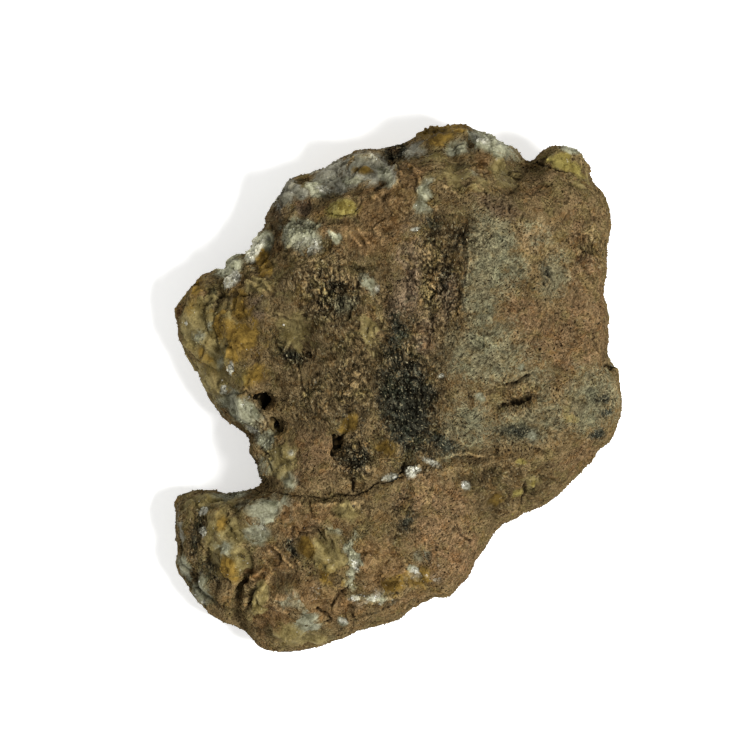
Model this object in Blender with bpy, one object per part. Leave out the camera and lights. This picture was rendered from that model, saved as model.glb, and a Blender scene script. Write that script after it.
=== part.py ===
"""Rough quartz stone: one natural piece of vein quartz, stained by iron and caked with earth.

The stone lies on its flat broken underside, at z = 0. Seen from above it is a thick slab, longer in Y than
in X, with a deep notch in its left side that parts the left lobe from the lower lobe. Its top is a plateau on
the right that steps down to the left. Lumps of quartz stand along its upper and left rims, and cracks and
holes cut its face. It is built as a slab between a top and an underside, grown together with its lumps,
broken into facets, cut by its cracks, and made flat where it rests.
"""

import bmesh
import bpy
import numpy as np
from mathutils import Vector, geometry, noise

MM = 0.001

# ---- Driving dimensions, in millimetres ----
STONE_WIDTH = 90.0
STONE_LENGTH = 106.0
STONE_HEIGHT = 41.0

# ---- How finely it is worked, in millimetres ----
SLAB_GRID = 1.5
ROUGH_VOXEL = 1.0
FINE_VOXEL = 0.8
FACES_KEPT = 9400
FLOOR_SNAP = 0.6
SAME_PLACE = 0.0001
ON_THE_RIM = 0.001

# Rounding of the rim: 1 is a plain bevel and 2 a quarter circle.
SHOULDER_ROUNDNESS = 1.8
UNDERCUT_ROUNDNESS = 1.6
RIM_BLEND = 4.0

# The rim, clockwise from the notch. Each stretch has its shoulder, the width over which the top rounds down
# to the rim; its belly, the height at which the stone is widest; and its undercut, the width over which the
# underside rises to the rim.
RIM = {
    "notch": (5, 11, 6, [
        (-26.4, -19.2), (-28.5, -17.2), (-28.8, -15.8), (-28.0, -14.7), (-30.2, -13.7), (-30.7, -12.1),
        (-29.6, -10.6),
    ]),
    "left lobe, lower side": (9, 11, 9, [
        (-30.2, -9.6), (-33.4, -8.3), (-35.8, -6.0), (-37.7, -3.0), (-39.5, -0.5), (-40.4, 4.0),
        (-42.8, 8.4),
    ]),
    "left lobe, end": (10, 11, 11, [
        (-44.5, 11.7), (-44.9, 15.8), (-43.9, 18.5), (-41.8, 21.2), (-39.8, 23.4), (-37.4, 24.4),
    ]),
    "white lip": (8, 12, 10, [
        (-35.0, 25.0), (-33.1, 26.8), (-30.6, 26.9), (-28.8, 27.8), (-27.0, 30.2), (-26.0, 35.2),
    ]),
    "grey flank": (15, 11, 9, [
        (-25.0, 37.7), (-22.9, 42.0), (-20.6, 43.1), (-17.8, 43.3), (-15.4, 44.3), (-10.2, 47.3),
        (-7.8, 48.6), (-2.0, 48.7),
    ]),
    "crown": (9, 15, 10, [
        (-1.2, 49.4), (0.5, 50.4), (2.2, 51.0), (3.9, 52.6), (7.5, 54.0), (10.1, 53.3), (11.9, 53.5),
        (13.9, 53.2), (14.9, 51.9), (16.9, 51.7), (18.9, 50.9), (21.2, 49.6), (23.4, 48.8), (24.8, 47.1),
    ]),
    "crown gap": (9, 16, 10, [(24.9, 45.7), (26.2, 45.5), (27.5, 46.4)]),
    "yellow knob": (8, 18, 12, [
        (28.0, 47.6), (30.2, 48.9), (33.1, 48.9), (35.0, 47.7), (37.2, 46.5), (39.0, 46.0), (39.3, 44.2),
        (38.7, 42.7),
    ]),
    "right wall": (3.5, 19, 9, [
        (40.1, 40.9), (41.7, 39.1), (42.9, 36.0), (42.9, 32.1), (42.2, 29.1), (41.7, 23.7), (40.9, 21.5),
        (40.9, 19.1), (41.8, 16.9), (41.7, 7.7), (41.5, 5.9),
    ]),
    "right spur": (4, 21, 11, [
        (43.2, 5.2), (44.5, 4.7), (44.9, 1.7), (45.0, -2.0), (44.7, -5.0), (43.9, -8.0), (42.9, -10.2),
    ]),
    "lower right side": (6, 17, 12, [
        (41.2, -11.6), (40.1, -13.0), (39.2, -15.0), (37.6, -15.6), (34.2, -18.9), (32.2, -21.0),
        (30.1, -22.4), (28.2, -23.8), (25.2, -24.6), (23.1, -26.2), (21.2, -26.8),
    ]),
    "foot, right side": (6, 14, 10, [
        (19.7, -28.4), (18.0, -30.2), (17.1, -31.8), (14.7, -35.1), (13.5, -38.3), (11.9, -38.9),
        (9.9, -41.3), (7.2, -41.6), (5.0, -42.4), (2.7, -43.8), (0.9, -45.5),
    ]),
    "foot": (7, 11, 9, [
        (-0.8, -46.6), (-3.6, -47.1), (-7.6, -48.8), (-9.4, -50.0), (-14.8, -51.9), (-18.6, -53.1),
        (-22.4, -53.8), (-25.9, -54.0),
    ]),
    "lower lobe, foot end": (6, 9, 7, [
        (-27.8, -52.4), (-30.1, -49.9), (-32.2, -48.6), (-35.9, -48.1), (-39.4, -45.3), (-42.8, -42.2),
        (-45.2, -38.0),
    ]),
    "lower lobe, left end": (7, 8, 6, [
        (-45.9, -35.0), (-45.0, -32.4), (-45.2, -29.4), (-45.0, -27.4), (-44.8, -25.2), (-45.6, -23.2),
        (-44.8, -21.6),
    ]),
    "lower lobe, upper side": (4, 9, 5, [
        (-42.4, -20.9), (-40.0, -20.4), (-37.4, -20.3), (-35.0, -20.8), (-33.0, -21.2), (-30.0, -20.6),
        (-27.2, -19.4),
    ]),
}

# Heights of the top, as (x, y, z), by area.
TOP = {
    "plateau": [
        (15, 35, 39), (25, 37, 36.5), (33, 38, 35), (40, 35, 33), (41, 26, 33), (41, 10, 33.5),
        (33, 22, 36), (25, 22, 38), (17, 22, 40), (14, 12, 40), (25, 10, 39), (33, 10, 37),
        (41, 4, 33), (43, -2, 31), (33, -2, 36), (24, 1, 37), (17, -2, 38.5), (11, -2, 38),
        (10, 6, 39), (12, -10, 36), (21, -10, 35.5), (31, -10, 34), (41, -9, 30),
    ],
    "foot of the plateau's step": [(7, 31, 36), (6, 18, 36), (6, 8, 35.5), (4, -2, 33.5), (6, -12, 33.5)],
    "brown band": [(1, 28, 37), (0, 18, 37), (2, 8, 36)],
    "middle": [
        (-3, 18, 34), (-3, 8, 32.5), (-4, -2, 31.5), (-2, -12, 33), (-11, 24, 33), (-19, 24, 31),
        (-13, 12, 31.5), (-21, 12, 29), (-13, -2, 30.5), (-21, -2, 28.5), (-11, -12, 31.5), (-19, -14, 29),
    ],
    "left lobe": [
        (-29, 18, 27), (-31, 10, 25), (-35, 16, 23), (-39, 14, 20), (-37, 8, 20.5), (-32, 0, 22),
        (-29, -4, 23), (-27, -10, 23.5), (-24, -16, 25),
    ],
    "upper left": [
        (-19, 31, 29), (-13, 35, 31), (-19, 37, 27.5), (-17, 40, 26), (-9, 37, 31.5), (-6, 43, 27),
        (-11, 42, 27), (-1, 44, 30), (-1, 36, 35), (-7, 30, 34), (-29, 25, 24), (-32, 23, 22),
        (-33, 20, 23),
    ],
    "crown": [
        (7, 40, 36.5), (7, 46, 32), (8, 50, 24), (13, 51, 24), (17, 45, 32), (21, 48, 27), (24, 43, 32),
        (30, 46, 27), (34, 45, 28), (38, 43, 28),
    ],
    "lower block": [
        (-25, -22, 26), (-13, -22, 30), (-5, -22, 31.5), (1, -20, 32.5), (9, -19, 33), (21, -18, 32.5),
        (31, -17, 30.5), (36, -15, 29), (-19, -31, 28), (-11, -30, 30), (-3, -30, 31), (5, -28, 32.5),
        (13, -28, 31), (19, -26, 28.5), (25, -22, 28.5), (15, -34, 26), (9, -38, 26), (1, -40, 27),
    ],
    "lower lobe": [
        (-36, -24, 22), (-41, -25, 17), (-42, -32, 15), (-39, -38, 15), (-31, -26, 24), (-33, -34, 22),
        (-27, -31, 25), (-34, -40, 19), (-33, -44, 15),
    ],
    "foot": [
        (-3, -44, 23), (-9, -42, 26), (-15, -46, 24.5), (-21, -46, 23.5), (-25, -42, 23.5), (-29, -46, 17),
        (-25, -50, 19), (-19, -50, 20),
    ],
}

# Heights of the underside. Where they are below zero the stone rests.
UNDERSIDE = [
    (0, 0, -2.0), (0, 20, -1.8), (0, 35, 0.5), (20, 25, -1.8), (25, 0, -1.4), (34, 12, 1.5), (32, 34, 3.0),
    (15, -15, -1.6), (28, -12, 2.0), (0, -25, -1.8), (-14, -10, -1.8), (-16, 12, -1.4), (-18, 30, 1.5),
    (-30, 10, 2.5), (-36, 14, 5.0), (-24, -4, 1.0), (-16, -34, -1.8), (-30, -32, 1.5), (-38, -30, 3.0),
    (-20, -46, 1.5), (8, -34, 1.0), (8, 46, 5.0),
]

# Lumps of quartz on the top: place, half length and half width, turn in degrees, and how far each one stands
# above the top around it.
LUMPS = {
    "smoky lump": (-6.8, 43.4, 5.6, 3.4, 10, 2.4),
    "grey lump": (-16.9, 39.4, 4.2, 2.8, -15, 2.2),
    "flank lump": (-21.6, 39.0, 2.8, 3.4, -30, 2.0),
    "yellow patch": (-10.2, 36.2, 3.8, 2.4, 15, 1.4),
    "sugar patch": (-18.8, 30.5, 5.2, 3.4, -10, 1.6),
    "pale lip": (-28.0, 27.0, 4.4, 2.0, 52, 1.7),
    "lip bead": (-32.0, 24.4, 2.4, 2.0, 0, 1.8),
    "white bead": (-33.4, 20.9, 2.0, 2.4, -20, 1.6),
    "lobe end lump": (-39.6, 17.5, 3.0, 4.2, -30, 1.7),
    "lobe yellow lump": (-33.0, 14.1, 4.2, 3.0, 40, 1.5),
    "lobe side lump": (-38.2, 9.7, 3.0, 3.8, 10, 1.5),
    "lobe inner lump": (-32.1, 8.4, 3.2, 3.6, 20, 1.4),
    "olive lump": (-28.4, 2.1, 4.2, 2.6, 35, 2.0),
    "green lump": (-30.2, -4.2, 5.2, 2.4, -38, 2.3),
    "notch bead": (-28.0, -12.4, 1.9, 2.0, 0, 1.2),
    "lower notch bead": (-25.8, -16.2, 2.0, 2.2, 0, 1.2),
    "middle lump": (-19.4, 2.7, 3.2, 3.8, 10, 1.0),
    "olive eye": (-2.1, -12.4, 3.4, 2.8, 15, 1.7),
    "pale lobe lump": (-25.4, -25.4, 5.4, 3.4, 20, 2.0),
    "yellow lobe lump": (-35.0, -26.8, 3.2, 4.4, -10, 1.7),
    "apricot lump": (-33.0, -34.4, 3.4, 3.8, 20, 1.9),
    "end bead": (-42.6, -27.0, 2.2, 2.8, 0, 1.6),
    "end corner bead": (-42.0, -34.6, 2.4, 3.2, -30, 1.8),
    "end lump": (-38.6, -39.0, 3.0, 3.6, -35, 1.8),
    "inner end lump": (-34.6, -40.6, 2.0, 3.2, 5, 1.6),
    "curled flake": (-27.0, -40.8, 2.6, 5.2, -20, 2.2),
    "foot lump": (-19.4, -42.4, 4.6, 4.2, 0, 1.7),
    "foot corner lump": (-22.6, -48.8, 4.6, 3.0, 5, 1.5),
    "foot middle lump": (-10.4, -42.2, 3.4, 2.8, 20, 1.5),
    "wedge lump": (-14.0, -34.4, 4.8, 3.2, -55, 1.7),
    "tan lump": (-8.3, -24.6, 3.8, 2.6, 10, 1.3),
    "pale column": (-8.6, -34.0, 2.2, 4.4, -20, 1.4),
    "heel lump": (8.2, -38.6, 3.2, 2.4, 0, 1.2),
    "right step lump": (20.7, -22.8, 4.2, 2.8, 20, 1.3),
}

# Lumps that stand out of the rim, with the height of their middle instead: place, half length and half
# width, turn, height.
RIM_LUMPS = {
    "orange pebble": (8.1, 50.3, 3.6, 2.2, 5, 22.5),
    "brown bead": (12.9, 51.2, 2.0, 1.6, 0, 22.5),
    "white ridge": (18.7, 48.2, 5.2, 2.0, -28, 27.0),
    "yellow knob": (32.6, 45.8, 4.6, 2.8, -5, 25.0),
    "pink knob": (37.4, 44.2, 1.9, 2.0, -30, 24.0),
}
LUMP_CORNERS = 26
LUMP_JITTER = 0.22
LUMP_JITTER_STEP = Vector((3.1, 1.7, 0.5))
# A lump is this much of its half width high, plus the root that it is sunk by.
LUMP_TALLNESS = 0.75
LUMP_ROOT = 1.0

# Cracks and crevices: half width and depth, then the line that each one follows.
CRACKS = {
    "parting crack": (1.3, 2.6, [
        (-30.0, -20.2), (-24.4, -20.8), (-17.8, -21.6), (-11.4, -21.4), (-6.2, -20.0), (-1.0, -17.2),
        (1.5, -16.6),
    ]),
    "lobe crevice": (1.5, 5.5, [
        (-30.9, -38.6), (-31.8, -40.6), (-32.1, -43.0), (-31.8, -46.0), (-31.2, -49.0),
    ]),
    "lobe crevice head": (1.2, 2.2, [(-30.4, -32.6), (-29.4, -34.6), (-29.8, -36.6), (-30.9, -38.6)]),
    "block crevice": (1.6, 2.4, [(-21.6, -37.6), (-23.4, -37.6), (-24.4, -38.8), (-25.6, -40.2)]),
    "wedge crack": (1.2, 2.6, [(-20.2, -34.4), (-19.0, -29.2), (-16.2, -28.4), (-13.4, -32.0)]),
    "foot crack": (1.2, 2.4, [(-10.4, -39.4), (-13.0, -43.0), (-15.6, -44.2), (-13.2, -46.8)]),
    "eye crack": (1.2, 2.4, [(-12.0, -9.6), (-12.0, -12.4), (-9.0, -16.4)]),
    "rim crack": (1.2, 2.2, [(1.9, -11.6), (1.9, -14.0), (1.2, -16.8)]),
    "right slit": (1.2, 1.8, [(25.9, -18.4), (25.2, -21.2), (24.9, -24.4)]),
    "lower groove": (1.2, 1.6, [(19.6, -4.0), (23.1, -2.6), (26.2, -2.0)]),
    "upper groove": (1.2, 1.6, [(21.2, 0.3), (23.9, 1.1), (26.4, 2.7)]),
    "lip crack": (1.3, 2.2, [(-23.6, 33.6), (-25.4, 29.6), (-26.0, 25.6)]),
    "lobe crack": (1.3, 2.0, [(-35.6, 20.6), (-36.2, 14.6), (-35.4, 9.0)]),
    "quartz edge": (1.2, 1.8, [(-14.6, 38.2), (-11.0, 40.2), (-6.0, 39.0), (-2.6, 41.0)]),
}

# Ledges: height, width of the slope and reach. The ground on the line's right steps up by the height and
# sinks back over the reach.
LEDGES = {
    "parting ledge": (2.2, 1.3, 9.0, [
        (-4.0, -18.6), (1.0, -17.0), (8.0, -15.8), (16.0, -14.2), (26.0, -13.4),
    ]),
    "plateau edge": (1.0, 3.2, 9.0, [(7.4, -8.0), (9.0, 4.0), (12.4, 14.0), (11.0, 24.0), (14.6, 34.0)]),
    "brown slope": (1.2, 2.4, 8.0, [(-4.6, 2.0), (-2.4, 9.0), (-1.6, 17.7), (-3.4, 27.0)]),
    "quartz ledge": (1.8, 1.3, 7.0, [(-4.0, 38.0), (-11.0, 34.2), (-17.0, 34.4), (-25.0, 33.4)]),
}
LINE_WOBBLE = 1.1
WOBBLE_LENGTH = 5.0

# Holes: place, half length and half width, turn, depth.
HOLES = {
    "black hole": (-26.8, -2.4, 2.1, 1.9, 0, 5.0),
    "twin hole": (-24.0, -7.0, 2.1, 1.5, -50, 3.4),
    "brown pit": (-18.6, 36.2, 2.2, 1.7, 0, 1.8),
    "slot": (-12.2, -10.8, 1.4, 2.1, 0, 2.2),
    "spur socket": (42.2, 4.3, 1.9, 1.5, -10, 1.8),
}

# The broken surface: each row is a cell size and how far its facets stand in or out.
FACETS = [(16.0, 2.3), (7.0, 1.1), (3.4, 0.4)]
# Uneven swell under the facets: each row is a wavelength and a height.
SWELL = [(24.0, 1.2), (8.0, 0.5)]
# How much a facet tilts for its level, and how fast both change from cell to cell.
FACET_TILT = 1.2
FACET_TILT_CHANGE = 2.9
FACET_LEVEL_CHANGE = 4.3
# The surface is calmer on the top, which begins where the normal has the first Z and is full at the second,
# and calmer near the rim.
TOP_CALM = 0.55
TOP_SLOPES = (0.5, 0.9)
RIM_CALM = 0.3
RIM_REACH = 3.0
# Cracks, holes and ledges are cut in full where the skin's normal has at least this Z.
CUT_SLOPE = 0.35
SEED_SHIFT = Vector((3.7, 11.3, 5.9))
OTHER_SHIFTS = (Vector((0.0, 0.0, 0.0)), Vector((31.4, 7.1, 12.9)), Vector((5.3, 47.7, 23.1)))


def clear_scene():
    """Remove every object of the starting scene."""
    for obj in list(bpy.data.objects):
        bpy.data.objects.remove(obj, do_unlink=True)


def segment_distance(points, start, end):
    """Distance in plan from each point to the segment, and the side that it lies on (right is +1)."""
    run = end - start
    offset = points - start
    along = np.clip(offset @ run / (run @ run), 0.0, 1.0)
    away = offset - along[:, None] * run
    side = np.where(offset[:, 0] * run[1] - offset[:, 1] * run[0] >= 0, 1.0, -1.0)
    return np.hypot(away[:, 0], away[:, 1]), side


def line_distance(points, line):
    """Distance in plan from each point to an open line, and the side of its nearest segment."""
    line = np.array(line, dtype=float)
    best = np.full(len(points), np.inf)
    side = np.ones(len(points))
    for start, end in zip(line[:-1], line[1:]):
        distance, here = segment_distance(points, start, end)
        nearer = distance < best
        best = np.where(nearer, distance, best)
        side = np.where(nearer, here, side)
    return best, side


def heights_between(survey, points):
    """Heights at the points, on a smooth skin stretched over the surveyed places."""
    survey = np.array(survey, dtype=float)
    places = survey[:, :2]
    middle = survey[:, 2].mean()
    pull = np.linalg.norm(places[:, None] - places[None], axis=2)
    weights = np.linalg.solve(pull, survey[:, 2] - middle)
    reach = np.linalg.norm(points[:, None] - places[None], axis=2)
    return middle + reach @ weights


def rim_values(points):
    """Distance to the rim, and the shoulder, belly and undercut blended from the stretches nearby."""
    corners = [(x, y) for _, _, _, stretch in RIM.values() for x, y in stretch]
    sizes = [(s, b, u) for s, b, u, stretch in RIM.values() for _ in stretch]
    corners = np.array(corners)
    ends = np.roll(corners, -1, axis=0)
    distances = np.stack([segment_distance(points, a, b)[0] for a, b in zip(corners, ends)], axis=1)
    nearest = distances.min(axis=1)
    weights = np.exp(-(distances - nearest[:, None]) / RIM_BLEND)
    blended = weights @ np.array(sizes, dtype=float) / weights.sum(axis=1)[:, None]
    return nearest, blended[:, 0], blended[:, 1], blended[:, 2]


def rounding(distance, width, roundness):
    """0 at the rim, 1 from width inwards, along a rounded corner."""
    t = np.clip(distance / width, 0.0, 1.0)
    return (1.0 - (1.0 - t) ** roundness) ** (1.0 / roundness)


def slab_mesh():
    """The slab: a top and an underside over one triangulated plan, joined along the rim."""
    rim = [Vector(p) for _, _, _, stretch in RIM.values() for p in stretch]
    steps_x = int(STONE_WIDTH / SLAB_GRID / 2)
    steps_y = int(STONE_LENGTH / SLAB_GRID / 2)
    grid = [Vector((i + 0.5 * (j % 2), j)) * SLAB_GRID
            for i in range(-steps_x, steps_x) for j in range(-steps_y, steps_y)]
    edges = [(i, (i + 1) % len(rim)) for i in range(len(rim))]
    inside_only = 1
    plan, plan_edges, triangles, _, _, _ = geometry.delaunay_2d_cdt(
        rim + grid, edges, [list(range(len(rim)))], inside_only, SAME_PLACE)
    used = sorted({corner for triangle in triangles for corner in triangle})
    number = {old: new for new, old in enumerate(used)}
    points = np.array([plan[i][:] for i in used])
    triangles = [[number[i] for i in triangle] for triangle in triangles]
    distance, shoulder, belly, undercut = rim_values(points)
    on_rim = distance < ON_THE_RIM
    top = heights_between([place for area in TOP.values() for place in area], points)
    under = heights_between(UNDERSIDE, points)
    high = belly + (top - belly) * rounding(distance, shoulder, SHOULDER_ROUNDNESS)
    low = belly + (under - belly) * rounding(distance, undercut, UNDERCUT_ROUNDNESS)

    bm = bmesh.new()
    upper = [bm.verts.new((x, y, z)) for (x, y), z in zip(points, high)]
    lower = [upper[i] if on_rim[i] else bm.verts.new((*points[i], low[i])) for i in range(len(points))]
    for triangle in triangles:
        bm.faces.new([upper[i] for i in triangle])
        if not all(on_rim[i] for i in triangle):
            bm.faces.new([lower[i] for i in reversed(triangle)])
    bmesh.ops.recalc_face_normals(bm, faces=bm.faces)
    return bm


def lump_half_height(half_width):
    """Half the height of a lump, its root included."""
    return LUMP_TALLNESS * half_width + LUMP_ROOT


def add_lump(bm, number, x, y, half_length, half_width, turn, middle):
    """Add one faceted lump: the hull of corners spread over an egg shape."""
    golden = np.pi * (3.0 - np.sqrt(5.0))
    turned = np.radians(turn)
    half_height = lump_half_height(half_width)
    corners = []
    for i in range(LUMP_CORNERS):
        level = 1.0 - 2.0 * (i + 0.5) / LUMP_CORNERS
        ring = np.sqrt(1.0 - level * level)
        shake = noise.noise(Vector((number, i, 1.0)) * LUMP_JITTER_STEP)
        size = 1.0 + LUMP_JITTER * shake
        u = half_length * size * ring * np.cos(i * golden + number)
        v = half_width * size * ring * np.sin(i * golden + number)
        corners.append(bm.verts.new((
            x + u * np.cos(turned) - v * np.sin(turned),
            y + u * np.sin(turned) + v * np.cos(turned),
            middle + half_height * size * level,
        )))
    hull = bmesh.ops.convex_hull(bm, input=corners)
    spare = [v for v in set(hull["geom_interior"]) if isinstance(v, bmesh.types.BMVert)]
    bmesh.ops.delete(bm, geom=spare, context="VERTS")


def add_lumps(bm):
    """Set every lump on the slab, by its rise above the top or by its own height."""
    survey = [place for area in TOP.values() for place in area]
    number = 0
    for x, y, half_length, half_width, turn, rise in LUMPS.values():
        here = np.array([(x, y)])
        distance, shoulder, belly, _ = rim_values(here)
        top = heights_between(survey, here)
        ground = (belly + (top - belly) * rounding(distance, shoulder, SHOULDER_ROUNDNESS))[0]
        middle = ground + rise - lump_half_height(half_width)
        add_lump(bm, number, x, y, half_length, half_width, turn, middle)
        number += 1
    for x, y, half_length, half_width, turn, middle in RIM_LUMPS.values():
        add_lump(bm, number, x, y, half_length, half_width, turn, middle)
        number += 1


def evaluated(bm, add_modifier):
    """A new bmesh of the mesh after one modifier; bm is freed."""
    mesh = bpy.data.meshes.new("working")
    bm.to_mesh(mesh)
    bm.free()
    obj = bpy.data.objects.new("working", mesh)
    bpy.context.scene.collection.objects.link(obj)
    add_modifier(obj)
    bpy.context.view_layer.update()
    result = bmesh.new()
    result.from_object(obj, bpy.context.evaluated_depsgraph_get())
    bpy.data.objects.remove(obj, do_unlink=True)
    bpy.data.meshes.remove(mesh)
    return result


def fused(bm, voxel):
    """Fuse everything that overlaps into one even skin."""
    def remesh(obj):
        modifier = obj.modifiers.new("fuse", "REMESH")
        modifier.mode = "VOXEL"
        modifier.voxel_size = voxel
        modifier.adaptivity = 0.0
    return evaluated(bm, remesh)


def thinned(bm, faces):
    """Keep about this many triangles, dense at edges and sparse on flat ground."""
    bmesh.ops.triangulate(bm, faces=bm.faces)
    ratio = min(1.0, faces / len(bm.faces))

    def decimate(obj):
        modifier = obj.modifiers.new("thin", "DECIMATE")
        modifier.ratio = ratio
        modifier.use_collapse_triangulate = True
    return evaluated(bm, decimate)


def noise_vector(place):
    """Three independent noises at a place."""
    return Vector([noise.noise(place + shift) for shift in OTHER_SHIFTS])


def facet_height(place, size):
    """Height of the broken facet that a place lies on: each cell has a level and a tilt of its own."""
    scaled = place / size + SEED_SHIFT
    cell = noise.voronoi(scaled)[1][0]
    level = noise.noise(cell * FACET_LEVEL_CHANGE)
    tilt = noise_vector(cell * FACET_TILT_CHANGE)
    return level + FACET_TILT * tilt.dot(scaled - cell)


def break_surface(bm):
    """Move the skin in and out along its normals, as swell and broken facets, calmer on the top and rim."""
    bm.normal_update()
    from_rim = rim_values(np.array([vert.co[:2] for vert in bm.verts]))[0]
    moves = []
    first, full = TOP_SLOPES
    for vert, distance in zip(bm.verts, from_rim):
        strength = 1.0 + (TOP_CALM - 1.0) * max(0.0, min(1.0, (vert.normal.z - first) / (full - first)))
        strength = min(strength, RIM_CALM + (1.0 - RIM_CALM) * distance / RIM_REACH)
        move = sum(height * noise.fractal(vert.co / size + SEED_SHIFT, 1.0, 2.0, 3) for size, height in SWELL)
        move += sum(height * facet_height(vert.co, size) for size, height in FACETS)
        moves.append(vert.normal * (move * strength))
    for vert, move in zip(bm.verts, moves):
        vert.co += move


def facing_up(bm):
    """How far each vertex faces up, from 0 on a wall to 1 on level ground."""
    bm.normal_update()
    return np.clip(np.array([vert.normal.z for vert in bm.verts]) / CUT_SLOPE, 0.0, 1.0)


def cut_lines(bm):
    """Raise the ledges and sink the cracks and holes into the top."""
    plan = np.array([vert.co[:2] for vert in bm.verts])
    wobble = np.array([noise_vector(Vector((x, y, 0.0)) / WOBBLE_LENGTH)[:2] for x, y in plan])
    plan = plan + LINE_WOBBLE * wobble
    lift = np.zeros(len(plan))
    for step, width, reach, line in LEDGES.values():
        distance, side = line_distance(plan, line)
        rise = np.clip(distance * side / width, -0.5, 0.5)
        lift += step * rise * np.clip(1.0 - distance / reach, 0.0, 1.0)
    for half_width, depth, line in CRACKS.values():
        distance, _ = line_distance(plan, line)
        lift -= depth * np.clip(1.0 - distance / half_width, 0.0, 1.0)
    for x, y, half_length, half_width, turn, depth in HOLES.values():
        turned = np.radians(turn)
        dx, dy = plan[:, 0] - x, plan[:, 1] - y
        u = (dx * np.cos(turned) + dy * np.sin(turned)) / half_length
        v = (dy * np.cos(turned) - dx * np.sin(turned)) / half_width
        lift -= depth * np.sqrt(np.clip(1.0 - u * u - v * v, 0.0, 1.0))
    for vert, rise in zip(bm.verts, lift * facing_up(bm)):
        vert.co.z += rise


def flatten_below(bm, level):
    """Press everything lower than a level flat against the floor, z = 0."""
    for vert in bm.verts:
        if vert.co.z < level:
            vert.co.z = 0.0


def fit_to_size(bm):
    """Scale to the driving dimensions, with the middle of the stone over the origin."""
    corners = np.array([vert.co[:] for vert in bm.verts])
    low, high = corners.min(axis=0), corners.max(axis=0)
    size = np.array([STONE_WIDTH, STONE_LENGTH, STONE_HEIGHT])
    middle = (low + high) / 2
    for vert, corner in zip(bm.verts, corners):
        x, y, z = (corner - middle) * size / (high - low)
        vert.co = (x * MM, y * MM, (z + STONE_HEIGHT / 2) * MM)


def stone_material():
    """Earth-stained quartz: mid brown, dull."""
    material = bpy.data.materials.new("stained quartz")
    material.use_nodes = True
    shader = material.node_tree.nodes["Principled BSDF"]
    shader.inputs["Base Color"].default_value = (0.15, 0.10, 0.055, 1.0)
    shader.inputs["Roughness"].default_value = 0.8
    shader.inputs["Metallic"].default_value = 0.0
    return material


def build_stone():
    """Make the stone, one closed body."""
    bm = slab_mesh()
    add_lumps(bm)
    bm = fused(bm, ROUGH_VOXEL)
    break_surface(bm)
    cut_lines(bm)
    flatten_below(bm, 0.0)
    bm = fused(bm, FINE_VOXEL)
    bm = thinned(bm, FACES_KEPT)
    flatten_below(bm, FLOOR_SNAP)
    fit_to_size(bm)
    mesh = bpy.data.meshes.new("quartz_stone")
    bm.to_mesh(mesh)
    bm.free()
    mesh.materials.append(stone_material())
    stone = bpy.data.objects.new("quartz_stone", mesh)
    bpy.context.scene.collection.objects.link(stone)


clear_scene()
build_stone()
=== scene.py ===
"""The looks of a rough quartz stone: its broken skin, its earth, stains, bare quartz and grains."""
import math

import bpy
import bmesh
import numpy as np
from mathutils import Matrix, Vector, noise


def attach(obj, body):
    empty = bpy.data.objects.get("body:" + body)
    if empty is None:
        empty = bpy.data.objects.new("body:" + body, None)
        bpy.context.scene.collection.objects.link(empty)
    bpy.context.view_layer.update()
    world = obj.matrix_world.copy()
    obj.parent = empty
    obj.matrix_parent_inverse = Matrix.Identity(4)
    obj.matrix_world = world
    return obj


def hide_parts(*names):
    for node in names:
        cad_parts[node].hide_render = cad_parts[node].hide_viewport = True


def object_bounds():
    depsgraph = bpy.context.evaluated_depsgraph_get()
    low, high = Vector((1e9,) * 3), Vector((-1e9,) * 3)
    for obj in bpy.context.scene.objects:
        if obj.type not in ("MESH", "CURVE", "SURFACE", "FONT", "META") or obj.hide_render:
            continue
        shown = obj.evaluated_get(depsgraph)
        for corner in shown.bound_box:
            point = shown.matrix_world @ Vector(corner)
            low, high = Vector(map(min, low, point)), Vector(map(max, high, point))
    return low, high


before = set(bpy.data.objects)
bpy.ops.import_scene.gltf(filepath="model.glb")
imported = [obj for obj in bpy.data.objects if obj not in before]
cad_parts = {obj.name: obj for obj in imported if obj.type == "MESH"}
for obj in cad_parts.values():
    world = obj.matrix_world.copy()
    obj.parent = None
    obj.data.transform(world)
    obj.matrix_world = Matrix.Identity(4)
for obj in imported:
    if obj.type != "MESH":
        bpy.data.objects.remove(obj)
cad_box = [list(corner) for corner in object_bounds()]
MM = 0.001


# ---- The stone's skin ----
# One natural piece of vein quartz, broken out of its rock and never dressed. Its form is the frame's
# own solid; here the solid's skin is knitted fine enough to carry grains, pores, crusts and cracks.

SKIN_VOXEL = 0.38 * MM
SKIN_SMOOTHING = 5


def placed(data, name):
    """A new object for a mesh, lamp or camera, in the scene at the origin."""
    obj = bpy.data.objects.new(name, data)
    bpy.context.scene.collection.objects.link(obj)
    return obj


def baked(obj, name):
    """A plain mesh of the object as its modifiers leave it; the object is removed."""
    bpy.context.view_layer.update()
    seen = obj.evaluated_get(bpy.context.evaluated_depsgraph_get())
    mesh = bpy.data.meshes.new_from_object(seen)
    mesh.name = name
    bpy.data.objects.remove(obj, do_unlink=True)
    return mesh


def fine_skin(node):
    """A close-knit skin over a CAD node, its facets softened a little."""
    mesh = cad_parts[node].data.copy()
    bm = bmesh.new()
    bm.from_mesh(mesh)
    bmesh.ops.remove_doubles(bm, verts=bm.verts, dist=1e-7)
    bm.to_mesh(mesh)
    bm.free()
    mesh.materials.clear()
    obj = placed(mesh, "skin")
    knit = obj.modifiers.new("knit", "REMESH")
    knit.mode = "VOXEL"
    knit.voxel_size = SKIN_VOXEL
    soften = obj.modifiers.new("soften", "SMOOTH")
    soften.factor = 0.5
    soften.iterations = SKIN_SMOOTHING
    return baked(obj, "skin")


def read_vectors(mesh, layer, key):
    """One vector per vertex, as rows of an array."""
    flat = np.empty(len(mesh.vertices) * 3, np.float32)
    layer.foreach_get(key, flat)
    return flat.reshape(-1, 3).astype(float)


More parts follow.
